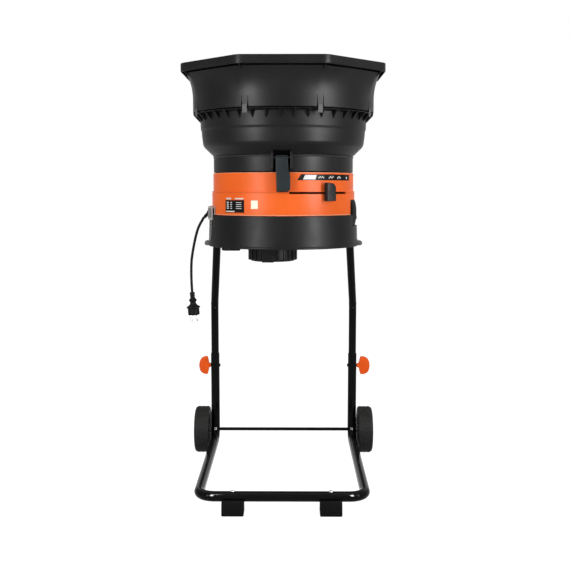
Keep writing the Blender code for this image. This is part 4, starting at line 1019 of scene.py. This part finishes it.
# The rotor: shaft, wound armature, commutator and fan inside the can, and above the deck the
# line head with three nylon lines and its nut.
copper = surface("varnished_copper", (0.66, 0.26, 0.11), 0.38, slot="copper", metallic=1.0,
                 grain=(700, 0.00008), mottle=(200, 0.15))
fan_plastic = surface("fan_plastic", (0.33, 0.33, 0.32), 0.5, 0.4, slot="grey_plastic",
                      grain=(900, 0.00002))
nylon = surface("nylon_line", (0.70, 0.12, 0.05), 0.42, 0.4, slot="nylon", grain=(2200, 0.00001),
                mottle=(150, 0.1))
shaft = [(0, 0.8060), (0.0042, 0.8060), (0.0050, 0.8050), (0.0050, 0.7800), (0.0120, 0.7800),
         (0.0120, 0.7755), (0.0050, 0.7755), (0.0050, 0.6078), (0, 0.6078)]
finished("motor_shaft", turned(eased(shaft, 0.0004), 40, motor), steel, "rotor_shaft", body="rotor")
wound = [(0.0053, 0.6980), (0.0260, 0.6980), (0.0310, 0.6960), (0.0330, 0.6900), (0.0388, 0.6900),
         (0.0388, 0.6500), (0.0330, 0.6500), (0.0310, 0.6440), (0.0260, 0.6420), (0.0053, 0.6420)]
gaps = ring_of(block((0.0120, 0.0026, 0.0420), at(0.0385, 0, 0.6700)), 12)
core = shaped(turned(eased(wound, 0.0020, True), 72), tools=[gaps])
core.transform(motor)
finished("wound_armature", core, copper, "armature", body="rotor")
gaps = ring_of(block((0.0060, 0.0006, 0.0160), at(0.0150, 0, 0.6275)), 24)
bars = shaped(turned([(0.0053, 0.6350), (0.0140, 0.6350), (0.0140, 0.6200), (0.0053, 0.6200)], 72),
              tools=[gaps])
bars.transform(motor)
finished("commutator_bars", bars, copper, "commutator", body="rotor")
finished("fan_wheel", softened("cooling_fan", 0.0008), fan_plastic, "cooling_fan", body="rotor")
head = [(0.0053, 0.7925), (0.0180, 0.7925), (0.0240, 0.7900), (0.0520, 0.7890), (0.0560, 0.7865),
        (0.0560, 0.7830), (0.0535, 0.7803), (0.0053, 0.7803)]
ways_out = [motor @ at(0, 0, 0.7850) @ spun(90 + 120 * k, "Z") @ spun(90, "Y") for k in range(3)]
eyelet = [(0.0016, 0.0566), (0.0036, 0.0566), (0.0042, 0.0550), (0.0016, 0.0550)]
eyelets = [turned(eyelet, 20, way) for way in ways_out]
head = turned(eased(head, 0.0012, True), 72, motor)
finished("line_head", joined(head, *eyelets), inner_black, "cutting_head", body="rotor")
line = [(0, 0.1500), (0.0010, 0.1498), (0.0013, 0.1480), (0.0015, 0.1420), (0.0015, 0.0563), (0, 0.0563)]
for number, way in enumerate(ways_out, 1):
    finished("nylon_line_%d" % number, turned(line, 16, way), nylon, "cutting_line_%d" % number,
             body="rotor")
finished("hex_nut", softened("head_nut", 0.0008), zinc, "head_nut", body="rotor")

# The lower hopper: a black moulding with a bulging band, a cone and a neck that drops into the
# orange ring. Gussets stand under its seam flange, and lugs on its neck carry the latches.
hopper_black = surface("hopper_black", (0.0095, 0.0095, 0.010), 0.42, 0.078, grain=(420, 0.00005),
                       mottle=(12, 0.10), worn=((0.05, 0.05, 0.05), 0.0012, 0.45), dust=0.05)
base = [(0.2460, 1.0060), (0.2460, 0.9896), (0.2484, 0.9896), (0.2484, 0.9870), (0.2305, 0.9850),
        (0.2290, 0.9470), (0.2268, 0.9415), (0.2258, 0.9280), (0.2230, 0.9060), (0.2195, 0.8985),
        (0.1938, 0.8735), (0.1953, 0.8718), (0.1953, 0.8700), (0.1940, 0.8692), (0.1940, 0.8296),
        (0.1892, 0.8296), (0.1892, 0.8120), (0.1862, 0.8120), (0.1862, 0.8340), (0.1898, 0.8390),
        (0.1898, 0.8735), (0.2168, 0.8995), (0.2200, 0.9070), (0.2258, 0.9470), (0.2275, 0.9870),
        (0.2430, 0.9895), (0.2430, 1.0060)]
gusset = [(0.2290, 0.9855), (0.2495, 0.9875), (0.2495, 0.9862), (0.2304, 0.9660), (0.2285, 0.9660)]
gussets = ring_of(plate(gusset, 0.0032, 0.0005, spun(90, "X"), 2), 40, -1.5)
# A flat outline stood on edge across the machine: its X points forwards and its Y up
on_edge = Matrix(((0, 0, 1, 0), (-1, 0, 0, 0), (0, 1, 0, 0), (0, 0, 0, 1)))
lug = eased([(0.1905, 0.8290), (0.2055, 0.8290), (0.2125, 0.8360), (0.2125, 0.8780), (0.2075, 0.8842),
             (0.1905, 0.8842)], 0.0020, True)
latch_shift = 0.0025
lug_x = 0.0245
facings = (("front", 0), ("back", 180))
lugs = []
for _, facing in facings:
    for x in (-lug_x, lug_x):
        spot = spun(facing, "Z") @ at(x - latch_shift, 0, 0) @ on_edge
        lugs.append(plate(lug, 0.0050, 0.0008, spot, 2))
wall = turned(eased(base, 0.0022, True), drum_steps)
finished("lower_hopper", on_drum(joined(wall, gussets, *lugs)), hopper_black, "hopper_base")
# The bead on the neck's top edge is light grey as a painted highlight
bead = eased([(0.1945, 0.8722), (0.1955, 0.8719), (0.1962, 0.8711), (0.1955, 0.8701), (0.1945, 0.8698)],
             0.0004, True)
bead_grey = surface("bead_grey", (0.055, 0.055, 0.054), 0.5, 0.1, grain=(600, 0.00002))
finished("neck_bead", on_drum(turned(bead, drum_steps)), bead_grey)
# Dark sheets between and beside the latch lugs paint the shade round each lever
for label, facing in facings:
    shade_sheets = joined(block((0.0436, 0.0010, 0.0440), at(-latch_shift, -0.1957, 0.8520)),
                  block((0.0436, 0.0112, 0.0075), at(-latch_shift, -0.2004, 0.8798)))
    shade_sheets.transform(spun(facing, "Z"))
    finished("latch_well_" + label, on_drum(shade_sheets), painted_shade_black)

# The latches: two moulded levers, pinned between the lugs at the front and the back, that hook
# under the catches on the orange ring.
latch_black = surface("latch_black", (0.020, 0.027, 0.029), 0.36, 0.1, grain=(700, 0.00002),
                      worn=((0.07, 0.075, 0.075), 0.0010, 0.5), dust=0.04)
hub = [(0.0065 * math.cos(math.radians(a)), 0.0065 * math.sin(math.radians(a))) for a in range(20, 281, 20)]
lever = [(0.0095, -0.0400), (0.0095, 0.0), *hub, (0.0050, -0.0060), (0.0050, -0.0400), (0.0050, -0.0480),
         (0.0050, -0.0790), (-0.0045, -0.0806), (-0.0045, -0.0835), (-0.0015, -0.0865), (0.0060, -0.0886),
         (0.0095, -0.0860), (0.0095, -0.0480)]
pin = turned([(0, 0.0262), (0.0026, 0.0262), (0.0030, 0.0258), (0.0030, -0.0258), (0.0026, -0.0262),
              (0, -0.0262)], 24, spun(90, "Y"))
middle = (0.0115, -0.0776)
turns = [math.pi / 2 * k / 10 for k in range(11)]
arc = [(middle[0] + 0.0110 * math.cos(a), middle[1] - 0.0110 * math.sin(a)) for a in turns]
corner_cut = plate([(0.0260, middle[1]), *arc, (middle[0], -0.0940), (0.0260, -0.0940)], 0.0600, 0,
                   spun(90, "X"))
for label, facing in facings:
    plain = plate(lever, 0.0350, 0, on_edge)
    for vert in plain.vertices:
        if vert.co.x > 0:
            vert.co.x += 0.0047 if vert.co.z < -0.044 else -0.0020
        else:
            vert.co.x += 0.0018 - 0.0022 * min(0, vert.co.z) / 0.0886
    pivot = drum @ spun(facing, "Z") @ at(-latch_shift, -0.2035, 0.8650)
    latch = joined(shaped(plain, 0.0016, 3, [corner_cut], 40), pin)
    latch.transform(pivot)
    finished("latch_lever_" + label + "_moulding", latch, latch_black, "latch_" + label,
             body="latch_lever_" + label)

# The upper hopper: a black moulding, round at its seam and octagonal at its turned-over rim,
# snapped on the lower hopper by eight tongues. The slots beside them let the wall flex.
offsets = [0.45, 0.9, 1.4, 2.0, 2.8, 4, 7, 10.5, 14, 18]
offsets = [-d for d in reversed(offsets)] + [0, *offsets, 22.5]


def eight_sided(apothem, off_corner, corner=0.034):
    """How far a rounded octagon reaches, at an angle from its nearest corner."""
    half = math.radians(22.5)
    off = math.radians(abs(off_corner))
    middle = (apothem - corner) / math.cos(half)
    if off < math.atan2(corner * math.sin(half), middle + corner * math.cos(half)):
        return middle * math.cos(off) + math.sqrt(corner ** 2 - (middle * math.sin(off)) ** 2)
    return apothem / math.cos(half - off)


flare = [(1.0270 + 0.0665 * t, 0.2500 + 0.0130 * t ** 2.2, 0.7 * t ** 1.3)
         for t in (1, 0.9, 0.8, 0.7, 0.6, 0.5, 0.4, 0.3, 0.2, 0.1, 0.04)]
sections = [(1.1158, 0.2710, 1), (1.1150, 0.2722, 1), (1.1135, 0.2725, 1), (1.0945, 0.2725, 1),
            (1.0935, 0.2718, 1), (1.0935, 0.2703, 1), (1.0945, 0.2697, 1), (1.1105, 0.2690, 1),
            (1.1115, 0.2665, 0.8), (1.1050, 0.2652, 0.78), *flare, (1.0270, 0.2500, 0), (0.9925, 0.2500, 0),
            (0.9915, 0.2492, 0), (0.9915, 0.2478, 0), (0.9925, 0.2470, 0), (1.0270, 0.2470, 0),
            *[(z, reach - 0.003, share) for z, reach, share in reversed(flare)], (1.1050, 0.2622, 0.78),
            (1.1150, 0.2640, 0.80), (1.1158, 0.2650, 0.82)]


def lofted(sections):
    """A wall through heights, each with its reach and its share of the octagon in the circle."""
    form = bmesh.new()
    rings = []
    for z, reach, share in sections:
        ring = []
        for corner in range(8):
            for off in offsets:
                turn = math.radians(22.5 + 45 * corner + off)
                out = reach * (1 - share) + share * eight_sided(reach, off)
                ring.append(form.verts.new((out * math.sin(turn), -out * math.cos(turn), z)))
        rings.append(ring)
    for upper, lower in zip(rings, rings[1:] + rings[:1]):
        for i in range(len(ring)):
            j = (i + 1) % len(ring)
            form.faces.new((upper[i], lower[i], lower[j], upper[j]))
    return closed(form)


flared = lofted(sections)
# Dark strips in the gaps behind the rim's turned-down edge and over the seam flange paint their shade
shade_strip = lofted([(1.0958, 0.2694, 1), (1.0952, 0.2694, 1), (1.0948, 0.2641, 0.74), (1.0906, 0.2624, 0.69),
              (1.0906, 0.2612, 0.69), (1.0958, 0.2630, 0.74)])
finished("rim_gap", on_drum(shade_strip), painted_shade_black)
shade_strip = [(0.2478, 0.9914), (0.2489, 0.9914), (0.2489, 0.9882), (0.2478, 0.9882)]
finished("seam_gap", on_drum(turned(eased(shade_strip, 0.0002, True), drum_steps)), painted_shade_black)
wedge = [(-0.0005, 0.0295), (0.0005, 0.0295), (0.0015, 0.0), (0.0015, -0.0030), (-0.0015, -0.0030),
         (-0.0015, 0.0)]
cuts = []
for side in (-1, 1):
    spot = spun(1.95 * side, "Z") @ at(0.2500, 0, 0.9905) @ spun(90, "Z") @ spun(90, "X")
    cuts.append(plate(wedge, 0.0100, 0, spot))
flared = shaped(flared, tools=[ring_of(joined(*cuts), 8, 22.5)])
gusset = [(0.2640, 1.0790), (0.2670, 1.0790), (0.2880, 1.0968), (0.2880, 1.1080), (0.2640, 1.1080)]
webs = ring_of(plate(gusset, 0.0016, 0, spun(90, "X")), 8, 22.5)
finished("flared_hopper", on_drum(joined(flared, webs)), hopper_black, "hopper_top")
tongue = eased([(0.2503, 0.9985), (0.2513, 0.9985), (0.2519, 0.9970), (0.2519, 0.9790), (0.2513, 0.9765),
                (0.2503, 0.9765)], 0.0005, True)
tongue_grey = surface("tongue_grey", (0.13, 0.13, 0.13), 0.5, 0.05, slot="grey_plastic",
                      grain=(700, 0.00002), dust=0.1)
tongues = ring_of(shaped(swept(tongue, 90 - 1.5, 90 + 1.5, 1), 0.0005, 2, angle=60), 8, 22.5)
finished("snap_tongues", on_drum(tongues), tongue_grey)
